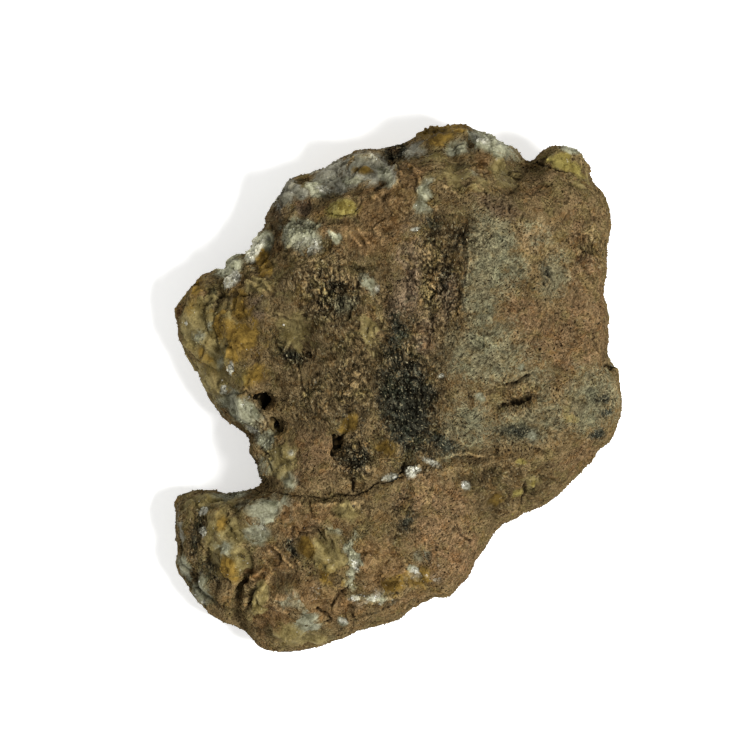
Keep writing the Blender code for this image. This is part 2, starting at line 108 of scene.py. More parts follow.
skin = fine_skin("quartz_stone")
places = read_vectors(skin, skin.vertices, "co") / MM
normals = read_vectors(skin, skin.vertex_normals, "vector")
count = len(places)


# ---- Where each finish lies ----
# Earth covers the right of the top, umber and crust its middle, and bare quartz stands along the left
# and upper rims and in the lower lobe. Each patch is (x, y, half length, half width, strength) in
# millimetres seen from above, with its turn in degrees last where it is turned.

PATCHES = {
    "orange_earth": [
        (37.6, 15, 12, 4.6, 0.9, 90), (32, 8.6, 8, 6, 0.85), (24.4, 13.8, 5, 4.4, 0.9),
        (32.6, 0.6, 5, 4, 0.5, 90), (28, 29.6, 5, 4.4, 0.45), (5, -21.4, 4.6, 4.6, 1),
        (9.6, -31, 10, 5.6, 0.95, -62), (36, -13.6, 6, 2.6, 0.6, 35), (28, 38.4, 6, 4.6, 0.5),
        (-17, -13.6, 6, 5.6, 0.8), (-18.6, -26, 4.4, 3.6, 0.75), (-24, -34.6, 3.4, 4, 0.6),
        (36.6, 33, 4, 6, 0.6), (12, -22.4, 3.4, 3, 0.8),
    ],
    "film": [
        (18.6, 26.6, 5, 8, 1), (15.6, 18.6, 3, 6.5, 1), (23.6, 24, 3, 3, 0.8),
        (31.6, 22.6, 3, 4.4, 0.8), (17.6, 6.6, 8.5, 5.6, 0.95), (25.6, -7.4, 7, 3.6, 0.85, 10),
        (14.6, -6.6, 5, 5, 0.8), (38.4, -2.4, 5, 6.5, 0.9), (30.6, -4, 4, 6, 0.55),
        (27, 2.6, 4, 3, 0.6), (11, -12.6, 5, 2, 0.6, 20), (26.4, 32.4, 2.6, 2, 0.5),
        (-10.4, 16.6, 2.2, 1.8, 0.9), (28.6, 29.4, 3, 3, 0.5), (-26, -40, 2, 2, 0.4),
    ],
    "mauve": [
        (1.6, 20, 9.5, 3, 1, 80), (9.6, 17.8, 5.5, 2.2, 0.75, 88), (20, 36.6, 4.6, 2.2, 0.95, -25),
        (-27.6, 15.8, 2.4, 2.6, 0.8), (-24.4, 35, 3, 1.8, 0.8, 60), (5.4, 11, 3, 4.4, 0.8),
        (-18.6, 35.8, 2, 1.7, 1), (2, 31.6, 5, 2.6, 0.5, 30), (-6.6, -15.6, 2, 1.4, 0.4),
    ],
    "umber": [
        (-15.4, 11.6, 14, 9, 1, 80), (-14, -3, 7, 8, 0.8), (-20, 20.6, 6, 5, 0.8),
        (-6, 25, 5, 3.4, 0.7), (9, 32.6, 5, 4, 0.7), (-4, 4, 10, 4, 0.8, 90),
        (19.6, -17.6, 8, 3.4, 0.7, 8), (28.6, -19.4, 5, 3, 0.6, 35), (11, 25, 2.6, 9, 0.7),
        (18.6, -23.6, 3.6, 2.2, 0.8, 20), (38, 26.6, 3.6, 3.4, 0.7), (-22.6, -38.6, 2.4, 2, 0.9, 20),
    ],
    "crust": [
        (2.2, -3.6, 10.5, 6, 1, 98), (8.8, 21.6, 1.5, 10, 0.5, 6), (12.4, 29.6, 3.6, 2, 0.5, 70),
        (7, 32.4, 3.4, 1.8, 0.5, -20), (2.6, 34.6, 2.6, 1.4, 0.5), (13, 20, 1, 7, 0.5, 6),
        (-37.4, -36.6, 4, 1.6, 0.7, -60), (-13, 19, 4.6, 5, 0.42), (40.8, -2, 1.5, 1.1, 0.9, -20),
        (41.6, -5, 1.3, 1, 0.8, 30), (39.8, -9.2, 1.8, 1, 0.9, 20), (-37, 18.4, 1.3, 3, 0.75),
        (9.4, -11, 3.6, 1.7, 0.9, -35), (-20.6, 6.6, 2.6, 1.4, 0.7, -20), (24.6, -8.6, 4, 1.4, 0.7),
        (-9.4, -6, 4, 4, 0.45), (-20.6, -31.6, 1.1, 3, 0.8, 5), (-6.6, 10, 1.4, 4, 0.4, -20),
        (29.6, 23.6, 1.2, 2.4, 0.6), (-23.6, 8.6, 2, 3, 0.5), (2, -26.6, 1.2, 2.6, 0.8, -12),
        (12, 12, 2.6, 1.2, 0.4), (-29, 25, 0.7, 2.4, 0.5, -20), (-2.6, -12, 2.2, 2, 0.5, 20),
        (0.8, -26, 0.6, 6.4, 0.45, -6), (0, 9.6, 2.6, 8, 0.7, -8), (-8.2, -13.6, 3.6, 3.6, 0.62),
        (-0.4, 47.4, 2.4, 2, 1), (-40, -29, 7.5, 1.5, 0.65, 78),
    ],
    "rust": [
        (-2.4, 36, 6.5, 4.6, 1, 50), (-8.4, 30, 5, 3, 0.8, -20), (3.6, 41.4, 3.2, 3.6, 0.9),
        (17.4, 44.6, 1.7, 3.2, 0.9, 12), (-39, 21, 2.4, 1.8, 1, 40), (-44, 13.6, 0.8, 3, 0.9),
        (-12.4, -24.6, 5, 3, 0.7), (-4, -33.6, 4.4, 4, 0.85), (-23.4, -34, 3.4, 3, 0.8, -50),
        (-25.4, -46.4, 5, 2.4, 0.8, -40), (-13.4, 35.6, 3, 1.4, 0.8, 20), (-23.6, 30.4, 0.8, 2.6, 0.9),
        (1, -42.6, 6, 2, 0.5, 15), (-10, -15.6, 2, 1, 0.5), (-13.6, 30.8, 0.7, 2.2, 0.9, 20),
        (-30, -35.6, 1.2, 3, 0.9), (-4.4, 28, 4, 3, 0.6), (-19.4, -26.4, 1.8, 2.6, 0.8),
        (-15, -42, 8, 4, 0.8, -20), (-21.6, -26, 3.6, 4.6, 0.85), (-3.6, -35, 6, 6, 0.8),
        (-25, -45, 4, 5, 0.8), (-26.6, -38, 2.6, 5, 0.6), (-0.4, 47.6, 2, 1.6, 0.5),
    ],
    "amber": [
        (-31, 9.6, 3.4, 4.6, 1), (-31.2, 16.6, 2, 3.4, 0.85), (-26.4, 25, 1.6, 2.8, 1, 15),
        (-38.4, 6.6, 2, 3, 0.6, 30), (-34.6, 12.6, 2.6, 3, 0.75), (-17.6, -31.8, 1.7, 2.8, 1, 10),
        (7.8, 50.8, 3.4, 1.9, 1, 5), (12.6, 52.2, 1.8, 1.3, 0.9), (-9.6, -7.2, 2.2, 1.6, 0.9, 40),
        (-0.8, -38.6, 2.4, 2.4, 0.8), (4.4, -38, 2.6, 2.4, 0.8), (-33.8, -35.8, 1.8, 2.4, 0.8),
        (-13, -37, 2, 3, 0.6, 20), (-35, -26.6, 1.4, 1.6, 0.8), (-41, 17.6, 2.4, 2.6, 0.5),
        (-33.6, 3.6, 1.6, 1.2, 0.7), (20, -22, 1.8, 1.6, 0.6), (-24, -48.4, 2.4, 1.6, 0.4),
        (-40, 20.6, 2, 1.6, 0.9, 40), (-28.4, 2.8, 3.4, 2, 0.7, 38), (-2.3, -12, 2, 1.8, 0.7, 20),
        (-26.6, 25, 1.2, 2.6, 1, 15), (-6.4, 43.5, 2.3, 1.4, 0.75, 5),
    ],
    "ochre": [
        (-40, 12.6, 3.6, 6.5, 0.95), (-36.2, 7.6, 4, 6, 0.95, 20), (-26.6, 20.6, 3.6, 2.6, 0.7),
        (-20.6, 11.6, 4, 4.6, 0.55), (-35, -27.6, 3, 3.6, 0.9), (-13.4, -33, 3, 4, 0.8, 20),
        (-10, -37.4, 3, 3, 0.5), (8.6, 45.6, 3, 2, 0.6, -20), (-20.4, -49.4, 5, 2.4, 0.8),
        (21.4, 42.6, 2.6, 3.2, 0.75), (-27.6, -42, 1.8, 4.6, 0.8, -20), (-9.4, -24.6, 3, 2.4, 0.7, 10),
        (26.6, -18, 4, 1.6, 0.5, 20), (-5.4, 11.6, 1.8, 2.8, 0.8, 10), (-22.6, -14, 3, 5, 0.7),
        (36, 41.4, 3, 3, 0.5), (-34.6, 0.6, 1.8, 2.2, 0.8, 30), (11.6, 42.6, 4, 3, 0.55),
        (17, 40, 3, 2, 0.5, -30), (-41.6, -24, 2.4, 2.4, 0.5), (-37, 8, 6, 14, 0.8, 10),
        (-37, -22.4, 6, 1.4, 0.8), (-24, -12.6, 3, 6, 0.6, 20), (-34, -31, 5, 8, 0.75),
        (-12, -29, 3, 5, 0.4), (-18, -49.6, 8, 2.6, 0.55, -6),
    ],
    "sulphur": [
        (-10.8, 35.8, 3.4, 1.9, 1, 10), (33, 44.8, 2.4, 1.6, 1, -5), (36.4, 42.4, 2.6, 1.6, 0.7, -40),
        (24.7, -14.6, 1.4, 0.8, 0.8), (24, -21, 1.2, 0.8, 0.8, 30), (27, -18.6, 0.7, 0.9, 0.7),
        (30.2, 45.4, 1.6, 1.2, 0.6), (34.6, -4.6, 2.4, 3, 0.35), (-9, 35.6, 1.6, 1.2, 1, 10),
        (-30.4, 1.8, 1.8, 1.2, 0.6, 38),
    ],
    "milky": [
        (-27.6, 28.2, 3.8, 1.7, 1, 52), (-33.6, 24.6, 3.2, 1.9, 0.9, 25),
        (-31.2, -4.4, 4.6, 2.4, 1, -35), (-26.4, -10, 2.4, 2, 0.8, -40), (-26.6, -15.6, 1.8, 2.6, 0.6),
        (-21.4, -18.4, 1.8, 1.8, 0.6), (-27.6, -29, 3, 2, 0.9), (-42.6, -36, 1.6, 3, 0.9, 20),
        (-39.4, -40, 2.2, 3, 0.8, 30), (-8.8, -34.4, 1.4, 5, 0.95, -8), (-17.6, -46.4, 2.4, 2.2, 0.7),
        (-34.2, -31.4, 2.2, 2, 0.7), (-21, -41.6, 3.4, 3, 0.5), (18.6, 49, 5.4, 1.8, 1, -30),
        (12.4, 48, 2.4, 2, 0.8), (5.8, 38.4, 1.4, 3.4, 0.8, -15), (35, 47.4, 2.6, 1, 0.9, -20),
        (-12.2, 29.9, 1, 1.7, 1, 30), (-5.6, 20.8, 2.6, 1.4, 0.7, -50), (3.4, -36, 1, 1, 0.9),
        (4.4, -33.4, 1.4, 1.6, 0.6), (-39.6, 10.6, 1.3, 1.6, 0.6), (-36.8, 12.6, 1.2, 1, 0.6),
        (-35.6, 4.8, 0.9, 1.8, 0.6, -20), (-12, -28, 2.6, 1.2, 0.4), (27, -9, 1.2, 1.6, 0.5),
        (15.6, 43, 2, 1.6, 0.4, -60), (24.6, 4.2, 0.9, 0.9, 0.7), (16.6, -1.8, 1.2, 0.8, 0.8, -30),
        (-3.4, -42, 3.4, 1.4, 0.6, 10), (-15.8, 39.4, 2.4, 1.7, 0.9, -20), (-10.6, -46.4, 1, 1, 0.9),
        (-2.4, 42.4, 1.4, 2.4, 0.9, 20), (-9.4, 41.4, 2.6, 0.9, 0.8, -10),
        (-19, 30.4, 4.4, 3, 0.95, -25), (-33.6, -21.4, 4, 0.9, 0.7), (-26, -24.4, 4.6, 3, 0.78, 15),
    ],
    "smoky": [
        (-13.4, 43, 4, 2.2, 1, 30), (-6.4, 43.5, 2.7, 1.5, 1), (-18.8, 38.6, 2, 1.2, 0.9),
        (-22.4, 39.4, 2.4, 3.4, 0.9, -30), (-43.4, -28, 1, 5, 0.6, 5), (3.6, 47.4, 2.6, 1.8, 0.7),
        (-11, 40, 2.2, 1, 0.6, -10), (-6.6, 43.4, 5.6, 3.4, 0.9, 10), (-2.4, 43, 2.2, 2.4, 1),
        (-13, 41.2, 3.4, 1.6, 0.8, 20),
    ],
    # Pale quartz grains, and painted light: small glints where the quartz would catch the lamp, and a
    # paler strip on the lip.
    "pale_grains_and_painted_glints": [
        (3.2, -16.6, 1.4, 0.9, 1, 25), (-1.4, -17.6, 1.6, 0.8, 0.9, 10), (-33.3, 21.6, 1.1, 2, 1, -12),
        (-17.4, 28.4, 2.6, 1.6, 0.6, -20), (-8.4, -35.6, 0.7, 1.4, 1, 20),
        (-10.4, -46.2, 0.8, 0.7, 0.9), (13.6, -19.2, 0.8, 0.8, 0.8), (-4, 19.8, 0.7, 0.8, 0.8),
        (-38.6, -24.6, 0.9, 0.6, 0.9, 40), (-38.6, -28.6, 0.8, 1, 0.8), (3.6, -36.2, 0.8, 0.7, 1),
        (16.6, 49.8, 2.4, 0.8, 0.7, -28), (-29, -8.2, 1.2, 0.6, 0.9, -30),
        (-14.6, 39.8, 1.6, 0.8, 0.8, -30), (-28.6, 26, 0.7, 1.6, 0.7, -10),
        (3.6, 31.6, 0.9, 0.4, 0.9, 10), (8.7, 2.5, 0.5, 0.4, 1), (-33.3, 3.8, 0.5, 1.3, 1, -20),
        (-34.6, -0.2, 0.7, 0.9, 1), (-42.2, 13, 0.4, 0.4, 0.9), (-16.2, 1.6, 0.5, 1, 0.4, 10),
        (-21, -13, 0.8, 0.8, 0.5), (35, 47.8, 1.6, 0.5, 0.8, -15), (-38.8, -43, 0.6, 0.5, 0.9),
        (-8.6, -41.6, 1.4, 0.7, 0.5), (-27, -27.6, 1.6, 1.2, 0.5, -30), (-15, -39.4, 3, 2, 0.36),
        (6, -37, 4, 2, 0.36, 20), (-3, -41.6, 6, 1.6, 0.32, 15), (-27.6, 28.2, 3.2, 1.1, 0.7, 52),
        (6.6, -14.6, 2.6, 0.7, 0.6, -20),
    ],
    # Places that are darker or paler than their finish, the paler partly painted light on slopes turned
    # from the lamp, and places split by short upright cracks.
    "darkened": [
        (19.6, -18, 8, 3.2, 0.8, 8), (29, -18.6, 5, 3, 0.8, 35), (20.4, -22.6, 3.6, 2.2, 0.9, 20),
        (38.4, 26.6, 3, 3.6, 0.5), (41.4, 11, 1.2, 6, 0.6), (12.4, 30.6, 5, 5, 0.55),
        (20.6, 36.6, 4.6, 2.2, 0.8, -25), (-24, 37.4, 1.6, 4.6, 0.9, -30),
        (-35.6, -43.6, 5, 1.4, 0.5, -35), (-22.6, 8.8, 3, 4, 0.5), (-0.4, 47.8, 2, 1.6, 0.9),
        (1.4, -3.6, 8, 6, 0.6, 98), (-12, 17.6, 4, 6, 0.4), (21.6, 41.6, 2.4, 3.4, 0.5),
        (-20.4, -31.6, 1.3, 3, 0.8), (-29.6, -38.6, 1.4, 5, 0.7, 8), (24.4, -2.4, 3.6, 2.6, 0.5, 10),
        (-37, 18.6, 1.4, 3, 0.6), (39.6, -6.6, 2.6, 5, 0.3), (-14, 3, 8, 8, 0.3),
        (-34.6, 13, 0.8, 3, 0.4, 10), (2.4, -27.4, 1.6, 2.4, 0.5), (-18, 11, 4, 5, 0.4),
        (25.6, -8, 5, 2.6, 0.75, 10), (38, -3, 4, 5, 0.45), (26, 13, 3.6, 3, 0.4),
        (-18, 12, 3.6, 4.6, 0.75), (-20.6, 6.6, 2.4, 1.4, 0.9, -20), (-28, 15.8, 1.8, 2, 0.6),
        (8.8, 21.6, 1, 10, 0.6, 6), (-2.3, -12, 2.2, 2, 0.8), (-19, -26.4, 2, 2, 0.7),
        (7.8, 50.6, 2.4, 1.4, 0.9), (-43.4, -28, 1.2, 5, 0.7), (-23, -34, 2.4, 2.4, 0.6),
        (1, -26, 0.8, 6, 0.7, -6), (-17.4, -32, 1.6, 2.4, 0.4, 10), (-8.2, -13.6, 3.6, 3.6, 0.3),
        (-18.6, 35.8, 1.8, 1.4, 0.6), (-42.4, -27, 1.8, 5, 0.7), (-9.6, -7.3, 1.6, 1.4, 0.9),
        (-18.2, 12, 3, 3, 0.9), (-28, 3, 2.6, 2.2, 0.35), (-6.4, 43.4, 2.4, 1.5, 1, 5),
        (-25.6, -25, 3.6, 2.6, 0.35, 15), (-20.4, -48.4, 3.4, 2.6, 0.45), (-17, -46, 2.4, 2.2, 0.35),
        (-40.6, -38.4, 3, 4, 0.65, 30), (33, 44.6, 2.8, 2, 0.42),
    ],
    "paler_and_painted_light": [
        (27.6, 29.6, 4.6, 4, 0.9), (4.6, -21.4, 4, 4, 0.7), (-18.6, 30, 4.6, 3.4, 0.5, -20),
        (22.6, 19, 3, 2, 0.6), (-15, 22, 3, 3.6, 0.7), (18.6, 29.6, 3, 4, 0.5),
        (-12.6, -20, 3, 0.9, 0.8), (-8.6, 3, 2, 5, 0.4), (33, 43.4, 3, 2, 0.4),
        (-27.6, 21.6, 3, 1.4, 0.6), (43, -1, 1.4, 5, 0.6), (-7, 24.6, 2.6, 1.6, 0.6),
        (-27.8, 28.2, 3.2, 1.6, 1, 52), (-16, 39.6, 2.2, 1.4, 0.9, -20), (-8.8, -35, 1, 4, 0.9, -8),
        (-6, 30, 4, 2.6, 0.8), (4, -37.6, 3, 2.4, 0.6), (-41.4, 9, 2.4, 9, 0.6),
        (-13, 42.6, 3.4, 2, 0.6, 30), (-24, 39.6, 1.6, 3, 0.5, -30), (-14, 19, 3.6, 3.6, 0.5),
        (-26.4, -46.2, 3, 1.6, 0.7, -40), (8, -36, 5, 4, 0.4), (-21, -41, 3, 3, 0.5),
        (-6.6, 41.2, 4, 0.9, 0.9), (-5.6, 46.2, 4, 0.8, 0.8, 5), (-26.4, -46, 3, 2.4, 0.7, -40),
        (-33.8, 24.2, 2.8, 1.8, 1, 25), (1.4, -25, 1.4, 3, 0.5), (-16, 31.6, 6, 5, 0.6),
        (-14, 42, 5, 3, 0.45, 25), (7.6, -28.4, 7, 8, 0.45, 20), (-2.4, 43, 1.8, 2.2, 1),
        (-26.6, 25, 1.6, 3, 1, 15), (13.6, 40.2, 8, 4.2, 0.38),
    ],
    "flaky": [
        (-13.6, 19.6, 5.4, 6.4, 1), (-20.4, 6.4, 2.6, 1.6, 0.9), (-9.6, 2, 4.6, 9, 0.7),
        (-8.2, -13.6, 4, 4, 1), (7.6, 21, 4.4, 10, 0.9, 4), (1.6, 2, 6, 12, 0.9, 4),
        (12.6, 30, 4, 4, 0.6), (-16, -2.6, 5, 5, 0.6), (38.6, 27.4, 3, 3.4, 0.6), (-4, 12, 3, 7, 0.6),
        (24.4, -2.6, 4, 3, 0.5, 10), (20, -17.6, 6, 3, 0.4),
    ],
}
# On the walls and the underside no patch is drawn, and each finish lies where its own noise is high:
# the noise's grain in millimetres, its shift, and the two values between which the finish sets in.
WALL_NOISE = {
    "orange_earth": (17.0, 3.3, -0.05, 0.25), "film": (16.0, 21.9, 0.05, 0.3),
    "mauve": (12.0, 31.0, 0.16, 0.35), "umber": (14.0, 47.0, 0.02, 0.25),
    "crust": (11.0, 52.0, 0.2, 0.38), "rust": (10.0, 61.0, 0.16, 0.36),
    "amber": (9.0, 67.0, 0.3, 0.45), "ochre": (12.0, 73.0, 0.16, 0.32),
    "sulphur": (9.0, 84.0, 0.3, 0.45), "milky": (13.0, 97.0, 0.2, 0.34),
    "smoky": (15.0, 104.0, 0.27, 0.4), "pale_grains_and_painted_glints": (3.0, 113.0, 0.36, 0.5),
    "darkened": (9.0, 121.0, 0.05, 0.35), "paler_and_painted_light": (8.0, 133.0, 0.12, 0.4),
    "flaky": (10.0, 145.0, 0.05, 0.3),
}

# Cracks in the skin: half width and depth in millimetres, then the line. The material darkens them as
# painted shade.
SKIN_CRACKS = {
    "parting crack": (0.14, 0.6, [
        (-28.4, -20.3), (-24.4, -20.7), (-21, -21.1), (-17.8, -21.6), (-13.4, -21.5), (-9, -21.2),
        (-5.6, -20.2), (-3.8, -19), (1, -17.6),
    ]),
    "lower branch": (0.16, 0.4, [(-17.6, -21.8), (-16.6, -25.6)]),
    "short slot": (0.33, 0.7, [(-8.8, -18), (-8.6, -20.2)]),
    "eye crack": (0.33, 0.8, [(-12.4, -9.6), (-12.2, -11.6), (-12.6, -13)]),
    "eye branch": (0.17, 0.5, [(-11.8, -10.6), (-10, -8.4), (-9.4, -6)]),
    "wedge crack": (0.2, 0.6, [(-19.4, -28.8), (-17.2, -28.4), (-15.4, -28.2), (-14.2, -30.2)]),
    "wedge shade": (0.26, 0.5, [(-20.6, -27.6), (-20.6, -31.4), (-21, -33.6)]),
    "flake slit": (0.2, 0.6, [(-28.6, -40.4), (-29.4, -42), (-30, -43.6)]),
    "crevice side": (0.2, 0.5, [(-33.6, -42.6), (-34.9, -43.9)]),
    "foot crack": (0.2, 0.6, [(-9.8, -39.4), (-12, -41.4), (-12.8, -43.6)]),
    "foot corner": (0.23, 0.6, [(-16, -43.6), (-14, -45), (-13.2, -46.6), (-14.6, -47)]),
    "rim crack": (0.18, 0.6, [(2, -11.4), (2.1, -13.6), (1.4, -16.2), (-0.6, -18)]),
    "right slit": (0.22, 0.6, [(25.7, -18.2), (25.2, -20.4), (24.7, -22), (24.4, -24.4)]),
    "small slit": (0.17, 0.5, [(11.8, -26.6), (12.8, -29.6), (14.4, -30.6)]),
    "lower groove": (0.28, 0.6, [(20, -3.9), (22.4, -3), (26, -1.9)]),
    "upper groove": (0.28, 0.6, [(21.4, 0.4), (23.4, 1), (25.8, 2.5)]),
    "top slit": (0.17, 0.6, [(22.4, 36.6), (22.5, 34.8)]),
    "top slit left": (0.17, 0.5, [(24.8, 35), (24.6, 33.4)]),
    "brown crack": (0.17, 0.4, [(7.4, 19.6), (6.2, 15.6), (7, 11.6), (6, 8.6)]),
    "brown edge": (0.15, 0.4, [(2.6, 26.6), (1.8, 22), (2.2, 17.6)]),
    "umber crack": (0.17, 0.5, [(-9.6, 14), (-8.2, 18), (-7.8, 21)]),
    "umber crack low": (0.17, 0.5, [(-20.6, 6.8), (-19.6, 3.6), (-18.6, -0.4)]),
    "umber nick": (0.26, 0.6, [(-18.4, 7.4), (-17.6, 6.6)]),
    "yellow crack": (0.17, 0.5, [(-14, 35), (-10.6, 33.8), (-7.6, 35.6), (-6.8, 37.6)]),
    "quartz crack": (0.17, 0.4, [(-13.4, 41.6), (-11.4, 40), (-9.6, 39.4)]),
    "flank crack": (0.2, 0.5, [(-24.6, 37.4), (-22.2, 41.4)]),
    "crown crack": (0.17, 0.5, [(-0.8, 46.4), (-0.2, 44.8), (0.8, 43.2), (0.4, 41.4), (1.2, 40)]),
    "lip crack": (0.15, 0.4, [(-25, 32.4), (-24.6, 29), (-26, 26), (-29, 21)]),
    "knob crack": (0.2, 0.5, [(28.2, 45), (31, 43.6), (34, 43)]),
    "notch crack": (0.17, 0.5, [(-27.2, -11.6), (-25.4, -13.4), (-25, -16.4)]),
    "spur shade": (0.33, 0.6, [(42.4, 4.4), (44.4, 4.6)]),
    "green seam": (0.17, 0.4, [(-34, -1.6), (-30.4, -0.6), (-27.6, -4), (-25, -8)]),
    "lobe seam": (0.14, 0.3, [(-37, 20.6), (-35.6, 17), (-36.6, 13), (-35.6, 9)]),
}
# Thin flakes that stand proud: half width and height in millimetres, then the line.
RIDGES = {
    "crescent flake": (0.45, 0.7, [
        (-26.7, -36.1), (-28.2, -37.4), (-29.1, -39.5), (-30, -41.7), (-30.6, -43.7),
    ]),
    "inner flake": (0.4, 0.5, [(-24.7, -36.1), (-26, -38.8), (-27.8, -41), (-28.7, -43.7)]),
    "needle 1": (0.25, 0.35, [(-25.4, -32.4), (-24.2, -34.2), (-22.6, -35.8)]),
    "needle 2": (0.25, 0.4, [(-24, -31.6), (-22.6, -33.6), (-20.8, -35.6)]),
    "needle 3": (0.3, 0.4, [(-22.2, -31.4), (-20.6, -33.6), (-19, -35.4)]),
    "needle 4": (0.25, 0.3, [(-26.6, -34), (-25.6, -35.4), (-24.2, -36.8)]),
    "lip plate": (1.1, 0.7, [(-25.4, 30.9), (-27.2, 28.6), (-28.6, 26.4), (-29.4, 23.8)]),
    "bead": (0.55, 0.4, [(-12.9, 31.2), (-11.7, 29.2)]),
    "swirl": (0.4, 0.45, [(-29.8, 21.2), (-27.6, 20.3), (-25.4, 18.6)]),
    "outer swirl": (0.35, 0.35, [(-28.8, 22.4), (-26.2, 21.4), (-24.4, 19.4)]),
    "short flake": (0.3, 0.35, [(-9.4, 31), (-7.4, 28.4)]),
    "short flake 2": (0.3, 0.3, [(-8, 31.8), (-5.6, 28.6)]),
    "crown flake": (0.5, 0.4, [(-4.6, 37.6), (-1.6, 39.4), (0.8, 42.4)]),
    "crown flake 2": (0.4, 0.35, [(1.6, 44.6), (4.6, 43), (8, 40.6), (12.4, 38)]),
    "wedge edge": (0.4, 0.4, [(4.4, 42.2), (5, 38.6), (7.6, 35.6)]),
    "film edge": (0.35, 0.3, [(13.4, 30.6), (14.4, 26), (13.6, 20.6), (12.2, 15.2)]),
    "white row": (0.45, 0.3, [(-0.6, -17.8), (2.6, -16.8), (5.4, -15.2), (8.8, -13.8)]),
    "step edge": (0.35, 0.35, [(9.6, -13.6), (14, -13), (19, -13.4)]),
    "block edge": (0.35, 0.35, [(-17, -23), (-14.2, -22.8), (-10.6, -23.2), (-8.4, -22.6)]),
    "foot flake": (0.4, 0.4, [(-8.6, -41.4), (-6, -42.4), (-2.4, -42), (1, -41)]),
    "grey flake": (0.4, 0.35, [(-21.6, 9.6), (-22.6, 7.4), (-21, 5.6)]),
    "left flake": (0.35, 0.4, [(-33.6, 7.6), (-34.2, 5), (-33.2, 3)]),
}
# Quartz that breaks into small grains, like sugar, and holes with sharp edges, as patches too; the holes'
# dark is painted shade.
SUGAR = [
    (-18.8, 30, 5, 3.6, 1, -25), (-27, -9.6, 4, 2, 0.8, -50), (-8.8, -34.4, 1.6, 5.4, 0.8, -8),
    (1.4, -24.6, 1.2, 7, 0.8, -6), (-3, -41, 7, 3, 0.7, 15), (4, -15.6, 5, 1.4, 1, -20),
    (-38.6, -26.6, 1.6, 3, 0.6), (-36, 12, 5, 5, 0.35), (-5, 20.6, 2.6, 1.6, 0.7, -50),
]
HOLES = [
    (-27.3, -1.7, 1.3, 0.7, 1, 12), (-26.4, -2.5, 0.9, 1, 1, 20), (-26.5, -3.8, 0.3, 0.6, 0.8, 10),
    (-24.8, -6.2, 0.6, 0.4, 0.8, -30), (-24, -7.2, 0.45, 0.8, 0.9, 20),
    (-23.2, -8.2, 0.6, 0.4, 0.8, 10), (-11.9, -10.8, 0.5, 1.1, 0.9, -15),
    (42.3, 4.4, 1.2, 0.7, 0.6, -10),
]
# The edges of patches stray by two noises: the grain, shifts and reach of each, in millimetres.
WANDER = [(5.0, (1.7, 23.9), 1.8), (1.6, (5.1, 41.3), 1.2)]
EDGE_SOFTNESS = 1.3
HOLE_SOFTNESS = 0.5


def noise_at(points, size, shift):
    """Smooth noise, about -0.5 to 0.5, at each point; size is its grain in millimetres."""
    moved = points / size + shift
    return np.array([noise.noise(point) for point in moved.tolist()])


def soft_step(values, low, high):
    """0 below low, 1 above high, smooth between."""
    t = np.clip((values - low) / (high - low), 0.0, 1.0)
    return t * t * (3.0 - 2.0 * t)


def patch_mask(patches, softness=EDGE_SOFTNESS):
    """How strongly the patches cover each place; the smaller a patch, the less its edge strays."""
    mask = np.zeros(count)
    for x, y, half_length, half_width, strength, *turn in patches:
        angle = math.radians(sum(turn))
        stray = min(1.0, half_width / 4.5)
        dx, dy = (spots + stray * wander - (x, y)).T
        u = (dx * math.cos(angle) + dy * math.sin(angle)) / half_length
        v = (dy * math.cos(angle) - dx * math.sin(angle)) / half_width
        edge = (1.0 + 0.5 * softness - np.hypot(u, v)) / softness
        mask = np.maximum(mask, strength * np.clip(edge, 0.0, 1.0))
    return mask


def line_distance(plan, line):
    """Distance in plan from each place to an open line."""
    line = np.array(line)
    best = np.full(len(plan), np.inf)
    for start, end in zip(line[:-1], line[1:]):
        run = end - start
        along = np.clip((plan - start) @ run / (run @ run), 0.0, 1.0)
        best = np.minimum(best, np.linalg.norm(plan - start - along[:, None] * run, axis=1))
    return best


wander = sum(np.stack([noise_at(places, grain, shift) for shift in shifts], axis=1) * reach
             for grain, shifts, reach in WANDER)
spots = places[:, :2]
# 1 on the top and the upper walls, 0 on the low walls and the underside.
seen_from_above = soft_step(normals[:, 2] + 0.3 * noise_at(places, 6.0, 9.2), -0.3, -0.05)
small = noise_at(places, 4.0, 15.4)
masks = {}
for name, patches in PATCHES.items():
    grain, shift, low, high = WALL_NOISE[name]
    on_walls = soft_step(noise_at(places, grain, shift) + 0.4 * small, low, high)
    masks[name] = patch_mask(patches) * seen_from_above + on_walls * (1.0 - seen_from_above)

crack = np.zeros(count)
near = spots + 0.25 * wander
for half_width, depth, line in SKIN_CRACKS.values():
    reach = np.clip(1.6 - line_distance(near, line) / half_width, 0.0, 1.0)
    crack = np.maximum(crack, depth * reach)
masks["crack"] = np.maximum(crack, patch_mask(HOLES, HOLE_SOFTNESS)) * seen_from_above
raised = np.zeros(count)
for half_width, height, line in RIDGES.values():
    reach = soft_step(1.0 - line_distance(near, line) / (1.6 * half_width), 0.0, 0.8)
    raised = np.maximum(raised, height * reach)
raised *= 1.0 + 1.2 * noise_at(places, 1.4, 77.7)
masks["raised"] = raised * seen_from_above
bare_finishes = ("milky", "smoky", "ochre", "amber", "sulphur", "pale_grains_and_painted_glints")
quartz = np.maximum.reduce([masks[name] for name in bare_finishes])
quartz = np.maximum(quartz, 0.4 * masks["rust"])
masks["broken"] = np.clip(quartz * 1.2, 0.0, 1.0)
masks["gritty"] = 1.0 - 0.85 * masks["broken"]
masks["streaked"] = masks["umber"]
masks["sugary"] = np.maximum(masks["pale_grains_and_painted_glints"], patch_mask(SUGAR) * seen_from_above)
masks["off_floor"] = soft_step(places[:, 2], 0.05, 0.6)
